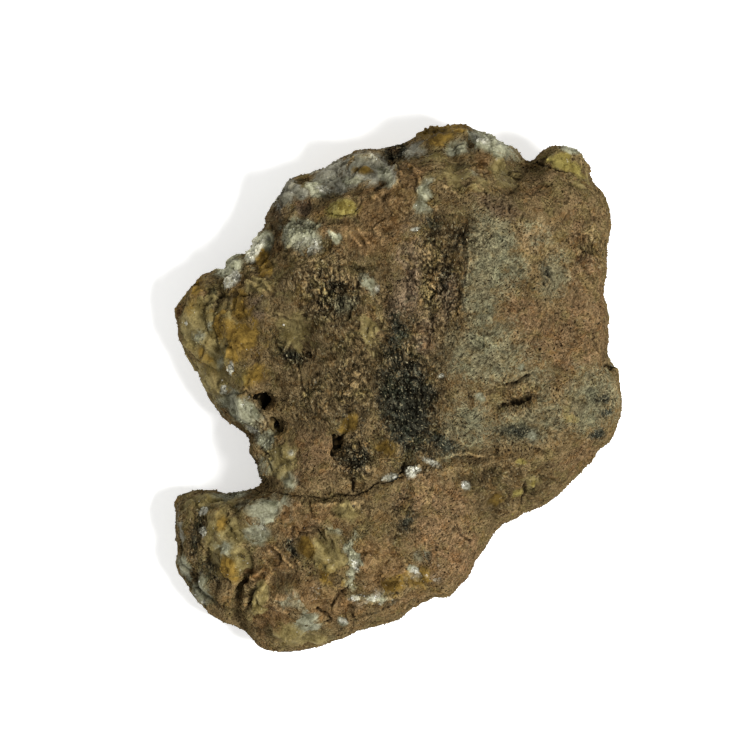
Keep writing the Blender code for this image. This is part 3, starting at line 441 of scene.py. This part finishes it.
# Grains keep clear of the floor, and lie thinner where the stone isn't seen from above.
off_base = soft_step(places[:, 2], 0.8, 1.6)
grit_cover = masks["gritty"] * (1.0 - 0.6 * masks["umber"])
masks["grit_cover"] = grit_cover * (0.22 + 0.78 * seen_from_above) * off_base
sugar_cover = np.maximum(masks["sugary"], 0.12 * masks["broken"])
masks["sugar_cover"] = sugar_cover * (0.3 + 0.7 * seen_from_above) * off_base
for name, values in masks.items():
    layer = skin.attributes.new(name, "FLOAT", "POINT")
    layer.data.foreach_set("value", values.astype(np.float32))


# ---- The stone's finishes ----
# Dried earth, a grey-green film, black crust and iron stains lie over quartz that runs from milky to
# smoky and amber. Each finish has a dark and a light tone, the grain in millimetres over which they
# mix, a roughness and a gloss; a finish with gloss is bare quartz.

class Field:
    """What a node puts out: a number, vector or colour that changes from place to place. A sum on
    fields adds a node to their tree."""

    def __init__(self, socket):
        self.socket = socket
        self.tree = socket.id_data

    def output(self, key):
        """Another output of the same node."""
        return Field(self.socket.node.outputs[key])

    def __add__(self, other):
        return maths("ADD", self, other)

    def __radd__(self, other):
        return maths("ADD", other, self)

    def __sub__(self, other):
        return maths("SUBTRACT", self, other)

    def __mul__(self, other):
        return maths("MULTIPLY", self, other)

    def __truediv__(self, other):
        return maths("DIVIDE", self, other)


def feed(node, inputs):
    """Set a node's inputs to plain values, or link fields to them."""
    for key, value in inputs.items():
        if isinstance(value, Field):
            value.tree.links.new(value.socket, node.inputs[key])
        else:
            node.inputs[key].default_value = value


def put(tree, kind, inputs=None, out=0, **settings):
    """Add a node, set it up, feed its inputs, and give one of its outputs."""
    node = tree.nodes.new(kind)
    for key, value in settings.items():
        setattr(node, key, value)
    feed(node, inputs or {})
    return Field(node.outputs[out])


def tree_of(*values):
    """The tree of the first field among the values."""
    return next(value.tree for value in values if isinstance(value, Field))


def maths(operation, first, second=0.0):
    """One sum on two numbers, at least one of them a field."""
    tree = tree_of(first, second)
    return put(tree, "ShaderNodeMath", {0: first, 1: second}, operation=operation)


def larger(first, second):
    """The larger of two numbers, place by place."""
    return maths("MAXIMUM", first, second)


def vector_maths(operation, first, second, out=0):
    """One sum on two vectors, or a vector times a number for SCALE."""
    key = 3 if operation == "SCALE" else 1
    return put(first.tree, "ShaderNodeVectorMath", {0: first, key: second}, out, operation=operation)


def stepped(value, low, high, bottom=0.0, top=1.0):
    """A smooth step of the value from low to high; low may be above high."""
    ends = {"Value": value, "From Min": low, "From Max": high, "To Min": bottom, "To Max": top}
    return put(value.tree, "ShaderNodeMapRange", ends, interpolation_type="SMOOTHSTEP")


def cloud(vector, size, detail=2.0, roughness=0.5, distortion=0.0, out="Fac"):
    """Noise of this grain, 0 to 1."""
    inputs = {"Vector": vector, "Scale": 1.0 / size, "Detail": detail, "Roughness": roughness,
              "Distortion": distortion}
    return put(vector.tree, "ShaderNodeTexNoise", inputs, out)


def ripple(vector, size, detail=2.0, roughness=0.5):
    """Noise of this grain about zero."""
    return cloud(vector, size, detail, roughness) - 0.5


def cells(vector, size, feature="F1", out="Distance"):
    """Cells of this size: the distance to a cell's middle or edge, its own colour, or its middle."""
    inputs = {"Vector": vector, "Scale": 1.0 / size}
    return put(vector.tree, "ShaderNodeTexVoronoi", inputs, out, feature=feature)


def turned(vector, degrees, stretch):
    """The vector turned about Z and pressed along its new X, which draws a pattern out along that X."""
    inputs = {"Vector": vector, "Angle": math.radians(degrees)}
    turn = put(vector.tree, "ShaderNodeVectorRotate", inputs, rotation_type="Z_AXIS")
    return vector_maths("MULTIPLY", turn, (1.0 / stretch, 1.0, 1.0))


def tone(red, green, blue):
    """A colour as the eye reads it, 0 to 255, made linear for the shader."""
    linear = [(c / 255.0 / 12.92 if c <= 10 else ((c / 255.0 + 0.055) / 1.055) ** 2.4)
              for c in (red, green, blue)]
    return (*linear, 1.0)


BASE_EARTH = ((64, 53, 35), (116, 98, 67))
FINISHES = {
    "umber": ((42, 33, 20), (95, 81, 56), 1.5, 0.8, 0.0),
    "orange_earth": ((76, 60, 41), (116, 93, 66), 1.3, 0.9, 0.0),
    "film": ((68, 67, 52), (118, 114, 88), 1.2, 0.85, 0.0),
    "mauve": ((72, 60, 47), (111, 94, 73), 2.2, 0.85, 0.0),
    "crust": ((20, 22, 18), (60, 61, 51), 0.9, 0.8, 0.0),
    "rust": ((70, 50, 26), (121, 98, 67), 1.8, 0.7, 0.02),
    "ochre": ((84, 73, 40), (132, 119, 78), 2.6, 0.5, 0.06),
    "sulphur": ((88, 76, 34), (141, 129, 72), 1.6, 0.55, 0.05),
    "smoky": ((90, 87, 72), (143, 140, 122), 3.4, 0.4, 0.12),
    "milky": ((86, 85, 65), (142, 141, 118), 1.8, 0.42, 0.1),
    "amber": ((68, 51, 17), (124, 100, 46), 2.4, 0.45, 0.06),
    "pale_grains_and_painted_glints": ((112, 109, 91), (178, 176, 160), 0.8, 0.4, 0.2),
}
BARENESS_OF_RUST = 0.4
WASH = tone(104, 88, 60)
PINHOLE_SHADE = tone(16, 12, 7)
NICK_SHADE = tone(12, 10, 6)
SHORT_CRACK_SHADE = tone(10, 8, 5)
FLECK = tone(146, 136, 106)
CREASE_SHADE = tone(60, 46, 24)
PIT_SHADE = tone(24, 18, 11)
GLINT = tone(226, 224, 214)
LONG_CRACK_SHADE = tone(12, 9, 5)
GREENING = (0.86, 0.96, 0.8, 1.0)
BROWNING = (0.86, 0.74, 0.6, 1.0)
# How the skin's grain runs, in degrees from X: upright in the crust and umber, leaning in the earth.
UPRIGHT = 82.0
FLAKE_TURN = 78.0
LEANING = -40.0
# The flakes' drawn-out cells, in millimetres: how far they are drawn out and how large they are.
FLAKE_STRETCH = 1.7
FLAKE_SIZE = 1.4
# Lumps of quartz, and the smaller faces on them.
LUMP_SIZE = 2.6
FACET_SIZE = 1.1


def mixed(factor, first, second, blend="MIX"):
    """Two colours mixed."""
    return put(tree_of(factor, first), "ShaderNodeMix", {0: factor, 6: first, 7: second}, out=2,
               data_type="RGBA", blend_type=blend)


def blended(factor, first, second):
    """Two numbers mixed."""
    return put(factor.tree, "ShaderNodeMix", {0: factor, 2: first, 3: second})


def shaded(colour, amount):
    """The colour times a number."""
    grey = put(amount.tree, "ShaderNodeCombineXYZ", {0: amount, 1: amount, 2: amount})
    return mixed(1.0, colour, grey, blend="MULTIPLY")


def varied(colour, share):
    """The colour made lighter by this share of itself, or darker where the share is below zero."""
    return shaded(colour, 1.0 + share)


def mask(tree, name):
    """How strongly a finish or a mark is there, from the mesh."""
    return put(tree, "ShaderNodeAttribute", out="Fac", attribute_name=name)


def shifted_cloud(vector, shift, size, **settings):
    """A cloud taken from another place, so that it doesn't lie on the others."""
    return cloud(vector_maths("ADD", vector, shift), size, **settings)


def short_cracks(vector):
    """Short curved upright cracks, 0 to 1: thin level lines of a noise, shown only here and there."""
    level = ripple(turned(vector, 75.0, 1.9), 1.25, detail=1.0)
    line = stepped(maths("ABSOLUTE", level), 0.035, 0.01)
    shown = stepped(shifted_cloud(vector, (31.0, 7.0, 3.0), 2.2), 0.48, 0.56)
    return line * shown


def flake_cells(vector, **settings):
    """The cells that small upright flakes follow."""
    return cells(turned(vector, FLAKE_TURN, FLAKE_STRETCH), FLAKE_SIZE, **settings)


def flake_edges(vector, width):
    """The open edges of the flakes, 0 to 1, shown only here and there."""
    edge = flake_cells(vector, feature="DISTANCE_TO_EDGE")
    shown = stepped(cloud(vector, 1.9), 0.42, 0.52)
    return stepped(edge, width, 0.25 * width) * shown


def laid_finishes(tree, bent, ragged):
    """The finishes laid over each other: colour, roughness, gloss, and how bare the quartz is."""
    speckled = ripple(bent, 0.5, roughness=0.7)
    lump = put(tree, "ShaderNodeSeparateColor", {0: cells(bent, LUMP_SIZE, out="Color")})
    facet = put(tree, "ShaderNodeSeparateColor", {0: cells(bent, FACET_SIZE, out="Color")})
    dark, light = BASE_EARTH
    colour = mixed(cloud(bent, 3.0, detail=5.0, roughness=0.7), tone(*dark), tone(*light))
    roughness, gloss, bare = 0.9, 0.0, 0.0
    for index, (name, (dark, light, grain, dullness, shine)) in enumerate(FINISHES.items()):
        between = cloud(bent, grain, detail=5.0, roughness=0.68, distortion=0.3)
        if shine > 0.0:
            own = lump.output(index % 3) - 0.5
            edge = mask(tree, name) + ragged * 0.55 + own * 0.35
            here = stepped(edge, 0.24, 0.7)
            # Each lump and facet a little lighter or darker at random: partly tone, partly painted light,
            # as facets catch the lamp differently.
            facet_tone_and_light = lump.output((index + 1) % 3) + facet.output(index % 3) - 1.0
            between = between + facet_tone_and_light * 0.12
            bareness = BARENESS_OF_RUST if name == "rust" else 1.0
            bare = larger(bare, here * bareness)
        else:
            strays = ragged * 1.2 + speckled * 0.8
            here = stepped(mask(tree, name) + strays, 0.2, 0.8)
        between = stepped(between, 0.3, 0.7)
        colour = mixed(here, colour, mixed(between, tone(*dark), tone(*light)))
        roughness = blended(here, roughness, dullness)
        gloss = blended(here, gloss, shine)
    return colour, roughness, gloss, bare


def weathered(tree, bent, ragged, ground, colour):
    """Darker places, paler ones partly painted light, earth washed over all but the crust, upright
    streaks, and green and brown clouds.
    """
    # Darker places, and paler places that are partly painted light on slopes turned from the lamp.
    for name, factor in (("darkened", 0.56), ("paler_and_painted_light", 1.45)):
        here = mask(tree, name) + ragged * 0.6
        colour = shaded(colour, stepped(here, 0.1, 0.9, 1.0, factor))
    washed = stepped(cloud(bent, 6.0, detail=4.0, roughness=0.65), 0.35, 0.68, 0.0, 0.35)
    washed = washed * (0.3 + ground * 0.7)
    off_crust = stepped(mask(tree, "crust"), 0.2, 0.7, 1.0, 0.15)
    colour = mixed(washed * off_crust, colour, WASH)
    streaks = cloud(turned(bent, UPRIGHT, 3.0), 0.8, detail=3.0, roughness=0.7)
    streaks = stepped(streaks, 0.3, 0.7, -0.25, 0.25)
    colour = varied(colour, streaks * mask(tree, "streaked"))
    greening = shifted_cloud(bent, (9.0, 2.0, 5.0), 3.4, detail=5.0, roughness=0.7)
    off_film = stepped(mask(tree, "film"), 0.1, 0.6, 0.7, 0.1)
    greening = stepped(greening, 0.48, 0.62) * ground * off_film
    colour = mixed(greening, colour, GREENING, blend="MULTIPLY")
    browning = shifted_cloud(bent, (4.0, 17.0, 1.0), 2.4, detail=5.0, roughness=0.7)
    browning = stepped(browning, 0.5, 0.62) * ground * 0.8
    return mixed(browning, colour, BROWNING, blend="MULTIPLY")


def grained(tree, bent, ground, split, colour):
    """Grain, pinholes and flecks in earth, nicks, flakes and cracks in crust, with their height; the dark
    of pinholes, nicks and cracks is painted shade.
    """
    leaning = turned(bent, LEANING, 1.4)
    fibrous = larger(mask(tree, "streaked") * ground, split)
    coarse = cloud(leaning, 0.42, detail=1.0)
    grain = coarse * 0.3 + cloud(leaning, 0.3, detail=1.0, roughness=0.8) * 0.7
    fibres = cloud(turned(bent, FLAKE_TURN, 3.0), 0.3, roughness=0.7)
    grain = blended(fibrous * 0.7, grain, fibres)
    rough_place = stepped(cloud(bent, 2.8), 0.36, 0.62, 0.6, 1.15)
    swing = 0.14 + ground * rough_place * 0.3 + split * 0.4
    grainy = stepped(grain, 0.38, 0.62, -1.0, 1.0) * swing
    colour = varied(colour, grainy)

    grouped = ripple(bent, 5.0) * 0.3
    pinholes = cloud(leaning, 0.36, detail=1.0) + grouped
    open_ground = ground * stepped(fibrous, 0.0, 1.0, 1.0, 0.25)
    pinholes = stepped(pinholes, 0.35, 0.3) * open_ground
    # Painted shade in the pinholes.
    colour = mixed(pinholes * 0.9, colour, PINHOLE_SHADE)
    nicks = cloud(turned(bent, UPRIGHT, 3.0), 0.36, detail=1.0)
    nicks = stepped(nicks + grouped, 0.4, 0.34) * split
    # Painted shade in the nicks.
    colour = mixed(nicks * 0.8, colour, NICK_SHADE)

    flaky = mask(tree, "flaky")
    flake = put(tree, "ShaderNodeSeparateColor", {0: flake_cells(bent, out="Color")})
    flake_tone = stepped(flake, 0.0, 1.0, -0.5, 0.8)
    colour = varied(colour, flake_tone * flaky * ground)
    open_edges = flake_edges(bent, 0.15) * flaky
    open_cracks = larger(short_cracks(bent), open_edges)
    # Painted shade in the short cracks and open flake edges.
    colour = mixed(open_cracks * split * 0.9, colour, SHORT_CRACK_SHADE)
    flecks = stepped(cloud(turned(bent, 60.0, 1.5), 0.34, detail=1.0), 0.64, 0.7)
    flecked = ground * 0.25 + split * 0.45
    colour = mixed(flecks * flecked, colour, FLECK)
    height = grain * (0.25 + ground * 0.45) - pinholes * 0.5 - nicks * 0.5
    return colour, height


def painted_light_and_shade(tree, bent, ground, bare, colour):
    """Painted light and shade: proud flakes paler, shade in hollows, creases, pits and long cracks, light
    on wide swells, and glints on the quartz.
    """
    # Painted light: proud flakes and ridges made paler.
    colour = shaded(colour, stepped(mask(tree, "raised"), 0.1, 0.4, 1.0, 1.3))
    # Painted shade in narrow hollows, then painted shade in wide hollows and painted light on wide
    # swells.
    sunk = stepped(mask(tree, "hollow"), -0.12, 0.14, 0.3, -0.45)
    colour = varied(colour, sunk * (0.3 + ground * 0.6))
    colour = shaded(colour, stepped(mask(tree, "wide_hollow"), -0.5, 0.6, 1.15, 0.7))
    # Painted shade in the creases between broken faces.
    colour = mixed(mask(tree, "crease") * 0.2, colour, CREASE_SHADE)
    # Painted shade in the pores and dashes sunk in the relief.
    pits = mask(tree, "pit") * (0.1 + ground * 0.3)
    colour = mixed(pits, colour, PIT_SHADE)
    glints = cloud(turned(bent, -60.0, 1.8), 0.5, roughness=0.7)
    glints = glints + mask(tree, "pale_grains_and_painted_glints") * 0.12
    glints = stepped(glints, 0.71, 0.76) * bare * 0.7
    colour = mixed(glints, colour, GLINT)
    # Painted shade in the long cracks and holes, stronger and weaker along them.
    broken_line = stepped(cloud(bent, 1.2), 0.3, 0.6, 0.35, 1.15)
    cracked = stepped(mask(tree, "crack") * broken_line, 0.25, 0.7)
    return mixed(cracked, colour, LONG_CRACK_SHADE)


def stone_material():
    """The stone's one material. Ground is where earth covers the quartz, split where it is cracked."""
    material = bpy.data.materials.new("stained_quartz")
    material.use_nodes = True
    tree = material.node_tree
    shader = tree.nodes["Principled BSDF"]
    bent = put(tree, "ShaderNodeAttribute", out="Vector", attribute_name="bent")
    ragged = ripple(bent, 2.0, detail=6.0, roughness=0.75)
    colour, roughness, gloss, bare = laid_finishes(tree, bent, ragged)
    ground = stepped(bare, 0.0, 1.0, 1.0, 0.0)
    split = larger(mask(tree, "crust"), mask(tree, "flaky")) * ground
    colour = weathered(tree, bent, ragged, ground, colour)
    colour, height = grained(tree, bent, ground, split, colour)
    colour = painted_light_and_shade(tree, bent, ground, bare, colour)
    bump = put(tree, "ShaderNodeBump", {"Strength": 0.9, "Distance": 0.7 * MM, "Height": height})
    feed(shader, {"Base Color": colour, "Roughness": roughness, "Coat Weight": gloss, "Normal": bump,
                  "Coat Roughness": 0.1, "Specular IOR Level": 0.0})
    return material


stained_quartz = stone_material()


# ---- Relief ----
# The skin's own relief, grown by a node tree: flat broken faces with creases between them in the
# quartz, grit and pores in the earth, short upright cracks and flakes in the crust, and streaks in the
# umber. Heights and depths are in millimetres.

def geometry_tree(name, labels):
    """A new geometry tree with one geometry in and out and these named numbers going in."""
    tree = bpy.data.node_groups.new(name, "GeometryNodeTree")
    tree.interface.new_socket("Geometry", in_out="INPUT", socket_type="NodeSocketGeometry")
    tree.interface.new_socket("Geometry", in_out="OUTPUT", socket_type="NodeSocketGeometry")
    for label in labels:
        tree.interface.new_socket(label, in_out="INPUT", socket_type="NodeSocketFloat")
    return tree, {socket.name: Field(socket) for socket in tree.nodes.new("NodeGroupInput").outputs}


def finish_tree(tree, geometry, material):
    """Make the tree's parts real, give them their material and hand them out."""
    geometry = put(tree, "GeometryNodeRealizeInstances", {"Geometry": geometry})
    geometry = put(tree, "GeometryNodeSetMaterial", {"Geometry": geometry, "Material": material})
    feed(tree.nodes.new("NodeGroupOutput"), {0: geometry})


def grow(obj, tree, values):
    """Run the tree on the object with these values for its named inputs."""
    modifier = obj.modifiers.new(tree.name, "NODES")
    modifier.node_group = tree
    for item in tree.interface.items_tree:
        if item.in_out == "INPUT" and item.name in values:
            modifier[item.identifier] = values[item.name]


def attribute(tree, name, kind="FLOAT"):
    """A named attribute inside a geometry tree."""
    return put(tree, "GeometryNodeInputNamedAttribute", {"Name": name}, data_type=kind)


def stored(tree, geometry, name, value, kind="FLOAT"):
    """The geometry with the value kept on it under this name."""
    inputs = {"Geometry": geometry, "Name": name, "Value": value}
    return put(tree, "GeometryNodeStoreNamedAttribute", inputs, data_type=kind, domain="POINT")


def broken_faces(vector, size):
    """Flat tilted faces of this size, as stone breaks: each cell is a plane with its own slope."""
    middle = cells(vector, size, out="Position")
    slope = vector_maths("SUBTRACT", middle.output("Color"), (0.5, 0.5, 0.5))
    away = vector_maths("SUBTRACT", vector, middle)
    return vector_maths("DOT_PRODUCT", away, slope, out="Value")


RELIEF = {
    "Wide Faces": 0.3, "Small Faces": 0.15, "Lump Height": 0.24, "Sugar Faces": 0.34, "Crease": 0.1,
    "Pore Depth": 0.25, "Grit Height": 0.4, "Swell": 0.5, "Dash Depth": 0.45, "Flake Height": 0.6,
    "Streak Height": 0.3,
}
# The size of the wide faces, and the passes of smoothing that tell a narrow hollow from a wide one.
FACE_SIZE = 5.2
HOLLOW_PASSES = {"hollow": 3, "wide_hollow": 24}


def large_relief(tree, given, kept):
    """The height of broken faces, lumps, sugary grains and flakes, less the cracks; and the creases."""
    broken = attribute(tree, "broken")
    faces = broken_faces(kept, FACE_SIZE) * given["Wide Faces"] * (0.3 + broken * 0.7)
    small = broken_faces(kept, LUMP_SIZE) * given["Small Faces"] * (0.2 + broken * 0.8)
    rounded = stepped(cells(kept, LUMP_SIZE), 0.75, 0.05)
    lumps = rounded * given["Lump Height"] * broken
    sugar = broken_faces(kept, 1.05) * given["Sugar Faces"] * (0.12 + attribute(tree, "sugary"))
    edge = cells(kept, FACE_SIZE, feature="DISTANCE_TO_EDGE")
    crease = stepped(edge, 0.07, 0.0) * broken
    swell = ripple(kept, 3.2) * given["Swell"]
    sunk = crease * given["Crease"] + attribute(tree, "crack")
    large = faces + small + lumps + sugar + swell + attribute(tree, "raised") - sunk
    return large, crease


def fine_relief(tree, given, kept):
    """The height of grit, streaks and flakes, less the pores, dashes and short cracks; and the pits."""
    gritty = attribute(tree, "gritty")
    flaky = attribute(tree, "flaky")
    streaked = attribute(tree, "streaked")
    split = larger(attribute(tree, "crust"), flaky)
    pore = cells(turned(kept, LEANING, 1.6), 0.8, out="Color")
    pore_own = put(tree, "FunctionNodeSeparateColor", {0: pore})
    grouped = ripple(kept, 6.0) * 1.9
    chosen = stepped(pore_own + grouped, 0.8, 0.86)
    off_streaks = stepped(streaked, 0.0, 1.0, 1.0, 0.3)
    pores = stepped(pore.output("Distance"), 0.44, 0.18) * chosen * gritty * off_streaks
    grit = ripple(kept, 0.8, detail=3.0, roughness=0.75) * given["Grit Height"] * (0.2 + gritty * 0.8)
    dashes = cloud(turned(kept, UPRIGHT, 2.8), 0.6, roughness=0.6)
    clustered = ripple(kept, 5.0) * 0.45
    dashes = stepped(dashes + clustered, 0.42, 0.32) * split
    cracks = short_cracks(kept) * split
    flake_place = turned(kept, FLAKE_TURN, FLAKE_STRETCH)
    flakes = broken_faces(flake_place, FLAKE_SIZE) * given["Flake Height"] * flaky
    streaks = ripple(turned(kept, FLAKE_TURN, 3.6), 1.2, detail=3.0, roughness=0.65)
    streaks = streaks * given["Streak Height"] * streaked
    open_edges = flake_edges(kept, 0.25) * flaky
    dips = larger(open_edges, larger(dashes, cracks))
    fine = grit + streaks + flakes - pores * given["Pore Depth"] - dips * given["Dash Depth"]
    return fine, larger(pores, dashes)


def relief_tree():
    """Two passes over the skin, large relief and then fine; then how far each place lies in a hollow."""
    tree, given = geometry_tree("relief", RELIEF)
    place = vector_maths("SCALE", put(tree, "GeometryNodeInputPosition"), 1.0 / MM)
    bent = place
    for grain, reach in ((4.5, 2.4), (1.2, 0.7)):
        swirl = vector_maths("SUBTRACT", cloud(place, grain, out="Color"), (0.5, 0.5, 0.5))
        bent = vector_maths("ADD", bent, vector_maths("SCALE", swirl, reach))
    kept = attribute(tree, "bent", "FLOAT_VECTOR")
    large, crease = large_relief(tree, given, kept)
    fine, pit = fine_relief(tree, given, kept)

    def moved(geometry, height):
        height = height * attribute(tree, "off_floor") * MM
        offset = vector_maths("SCALE", put(tree, "GeometryNodeInputNormal"), height)
        return put(tree, "GeometryNodeSetPosition", {"Geometry": geometry, "Offset": offset})

    geometry = stored(tree, given["Geometry"], "bent", bent, "FLOAT_VECTOR")
    for name, value in (("crease", crease), ("pit", pit), ("large", large), ("fine", fine)):
        geometry = stored(tree, geometry, name, value)
    geometry = moved(geometry, attribute(tree, "large"))
    geometry = moved(geometry, attribute(tree, "fine"))
    # How deep each place lies in a narrow and in a wide hollow; the material paints shade and light by
    # these.
    for name, passes in HOLLOW_PASSES.items():
        here = put(tree, "GeometryNodeInputPosition")
        around = put(tree, "GeometryNodeBlurAttribute", {"Value": here, "Iterations": passes},
                     data_type="FLOAT_VECTOR")
        sunk = vector_maths("DOT_PRODUCT", vector_maths("SUBTRACT", around, here),
                            put(tree, "GeometryNodeInputNormal"), out="Value")
        geometry = stored(tree, geometry, name, sunk / MM)
    finish_tree(tree, geometry, stained_quartz)
    return tree


# The skin is thinned to this many triangles, most on the underside and the low walls. The rim of the
# foot isn't thinned, so that no flat flap spans the notch.
TRIANGLES_KEPT = 196000
KEEP_LEVELS = 10

stone = placed(skin, "stone")
shown = 0.1 + 0.8 * soft_step(normals[:, 2], -0.45, 0.1)
foot_rim = soft_step(places[:, 2], 3.0, 1.5) * soft_step(normals[:, 2], -0.97, -0.8)
shown = np.maximum(shown, foot_rim)
keep = stone.vertex_groups.new(name="keep")
for level in range(KEEP_LEVELS + 1):
    chosen = np.flatnonzero(np.round(shown * KEEP_LEVELS) == level)
    keep.add(chosen.tolist(), level / KEEP_LEVELS, "REPLACE")
grow(stone, relief_tree(), RELIEF)
thin = stone.modifiers.new("thin", "DECIMATE")
thin.vertex_group = "keep"
thin.invert_vertex_group = True
thin.vertex_group_factor = 1.0
thin.ratio = min(1.0, TRIANGLES_KEPT / (2.0 * len(skin.polygons)))
thin.use_collapse_triangulate = True
stone = placed(baked(stone, "stone"), "stone")
stone.data.shade_smooth()


def kept_in_box(mesh):
    """Hold the mesh inside the frame's box, so that the stone keeps its size."""
    inside = np.clip(read_vectors(mesh, mesh.vertices, "co"), *np.array(cad_box))
    mesh.vertices.foreach_set("co", inside.astype(np.float32).ravel())
    mesh.update()


kept_in_box(stone.data)
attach(stone, "root")
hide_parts("quartz_stone")


# ---- Grains ----
# Grit of the dried earth and crust, and sugary grains of the broken quartz, all grown fast to the
# stone. Each grain is a small angular crumb, half sunk in the skin, and is stained as the ground
# beside it. Sizes are radii in millimetres.

GRIT = {"Per Square Millimetre": 1.5, "Smallest": 0.14, "Largest": 0.3, "Sides": 4, "Rings": 2,
        "Stray": 0.6}
SUGAR_GRAINS = {"Per Square Millimetre": 2.6, "Smallest": 0.18, "Largest": 0.42, "Sides": 5, "Rings": 3,
                "Stray": 0.5}


def random_vector(tree, low, high, seed):
    """A vector for each grain, drawn at random between low and high."""
    inputs = {0: low, 1: high, "Seed": seed}
    return put(tree, "FunctionNodeRandomValue", inputs, data_type="FLOAT_VECTOR")


def grain_tree(name, values, cover, seed):
    """Crumbs strewn over the skin where the cover attribute is high."""
    tree, given = geometry_tree(name, values)
    density = given["Per Square Millimetre"] * (1.0 / MM / MM) * attribute(tree, cover)
    strewn = put(tree, "GeometryNodeDistributePointsOnFaces",
                 {"Mesh": given["Geometry"], "Density": density, "Seed": seed},
                 distribute_method="RANDOM")
    near = random_vector(tree, (-1.0, -1.0, -1.0), (1.0, 1.0, 1.0), seed + 1)
    astray = vector_maths("ADD", attribute(tree, "bent", "FLOAT_VECTOR"),
                          vector_maths("SCALE", near, given["Stray"]))
    strewn = stored(tree, strewn, "bent", astray, "FLOAT_VECTOR")
    strewn = stored(tree, strewn, "pit", 0.0)
    crumb = put(tree, "GeometryNodeMeshUVSphere",
                {"Segments": given["Sides"], "Rings": given["Rings"], "Radius": MM})
    size = put(tree, "FunctionNodeRandomValue",
               {2: given["Smallest"], 3: given["Largest"], "Seed": seed + 2}, out=1, data_type="FLOAT")
    shape = random_vector(tree, (0.6, 0.6, 0.5), (1.3, 1.3, 1.0), seed + 3)
    turn = random_vector(tree, (0.0, 0.0, 0.0), (6.28, 6.28, 6.28), seed + 4)
    crumbs = put(tree, "GeometryNodeInstanceOnPoints",
                 {"Points": strewn, "Instance": crumb, "Rotation": turn,
                  "Scale": vector_maths("SCALE", shape, size)})
    finish_tree(tree, crumbs, stained_quartz)
    return tree


def add_grains(name, values, cover, seed):
    """One piece with all the grains of a kind."""
    bed = placed(stone.data.copy(), name)
    grow(bed, grain_tree(name, values, cover, seed), values)
    grains = placed(baked(bed, name), name)
    grains.data.shade_flat()
    kept_in_box(grains.data)
    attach(grains, "root")


add_grains("earth_grit", GRIT, "grit_cover", 11)
add_grains("quartz_grains", SUGAR_GRAINS, "sugar_cover", 23)


# ---- The table, the light and the camera ----
# The stone lies on a plain pale table under one soft lamp from its right, and is looked at from
# straight above.

VIEW_WIDTH = 0.150
VIEW_MIDDLE = Vector((-0.00435, 0.00265, 0.018))
VIEW_DISTANCE = 1.8
LAMP_DISTANCE = 0.9
TABLE_HALF = 3.0
TABLE_GAP = 0.2 * MM

table = bpy.data.meshes.new("table")
corners = [(-1, -1), (1, -1), (1, 1), (-1, 1)]
table.from_pydata([(x * TABLE_HALF, y * TABLE_HALF, -TABLE_GAP) for x, y in corners], [], [(0, 1, 2, 3)])
table = placed(table, "table")
white = bpy.data.materials.new("white_table")
white.use_nodes = True
feed(white.node_tree.nodes["Principled BSDF"], {
    "Base Color": (0.9, 0.9, 0.9, 1.0), "Roughness": 0.8,
    "Emission Color": (1.0, 1.0, 1.0, 1.0), "Emission Strength": 0.5,
})
table.data.materials.append(white)

world = bpy.data.worlds.new("room")
bpy.context.scene.world = world
world.use_nodes = True
feed(world.node_tree.nodes["Background"], {"Color": (1.0, 1.0, 0.98, 1.0), "Strength": 0.5})


def add_lamp(name, bearing, height, width, power):
    """A square lamp that looks at the stone; bearing, from +X towards +Y, and height in degrees."""
    lamp = bpy.data.lights.new(name, "AREA")
    lamp.size = width
    lamp.energy = power
    obj = placed(lamp, name)
    around, up = math.radians(bearing), math.radians(height)
    towards = Vector((math.cos(around) * math.cos(up), math.sin(around) * math.cos(up), math.sin(up)))
    obj.location = VIEW_MIDDLE + towards * LAMP_DISTANCE
    obj.rotation_mode = "QUATERNION"
    obj.rotation_quaternion = towards.to_track_quat("Z", "Y")


add_lamp("window", bearing=-20, height=62, width=0.2, power=11.8)

bpy.context.scene.view_settings.view_transform = "Standard"
camera = bpy.data.cameras.new("camera")
camera.sensor_width = 36.0
camera.lens = camera.sensor_width * VIEW_DISTANCE / VIEW_WIDTH
camera = placed(camera, "camera")
camera.location = VIEW_MIDDLE + Vector((0.0, 0.0, VIEW_DISTANCE))
bpy.context.scene.camera = camera
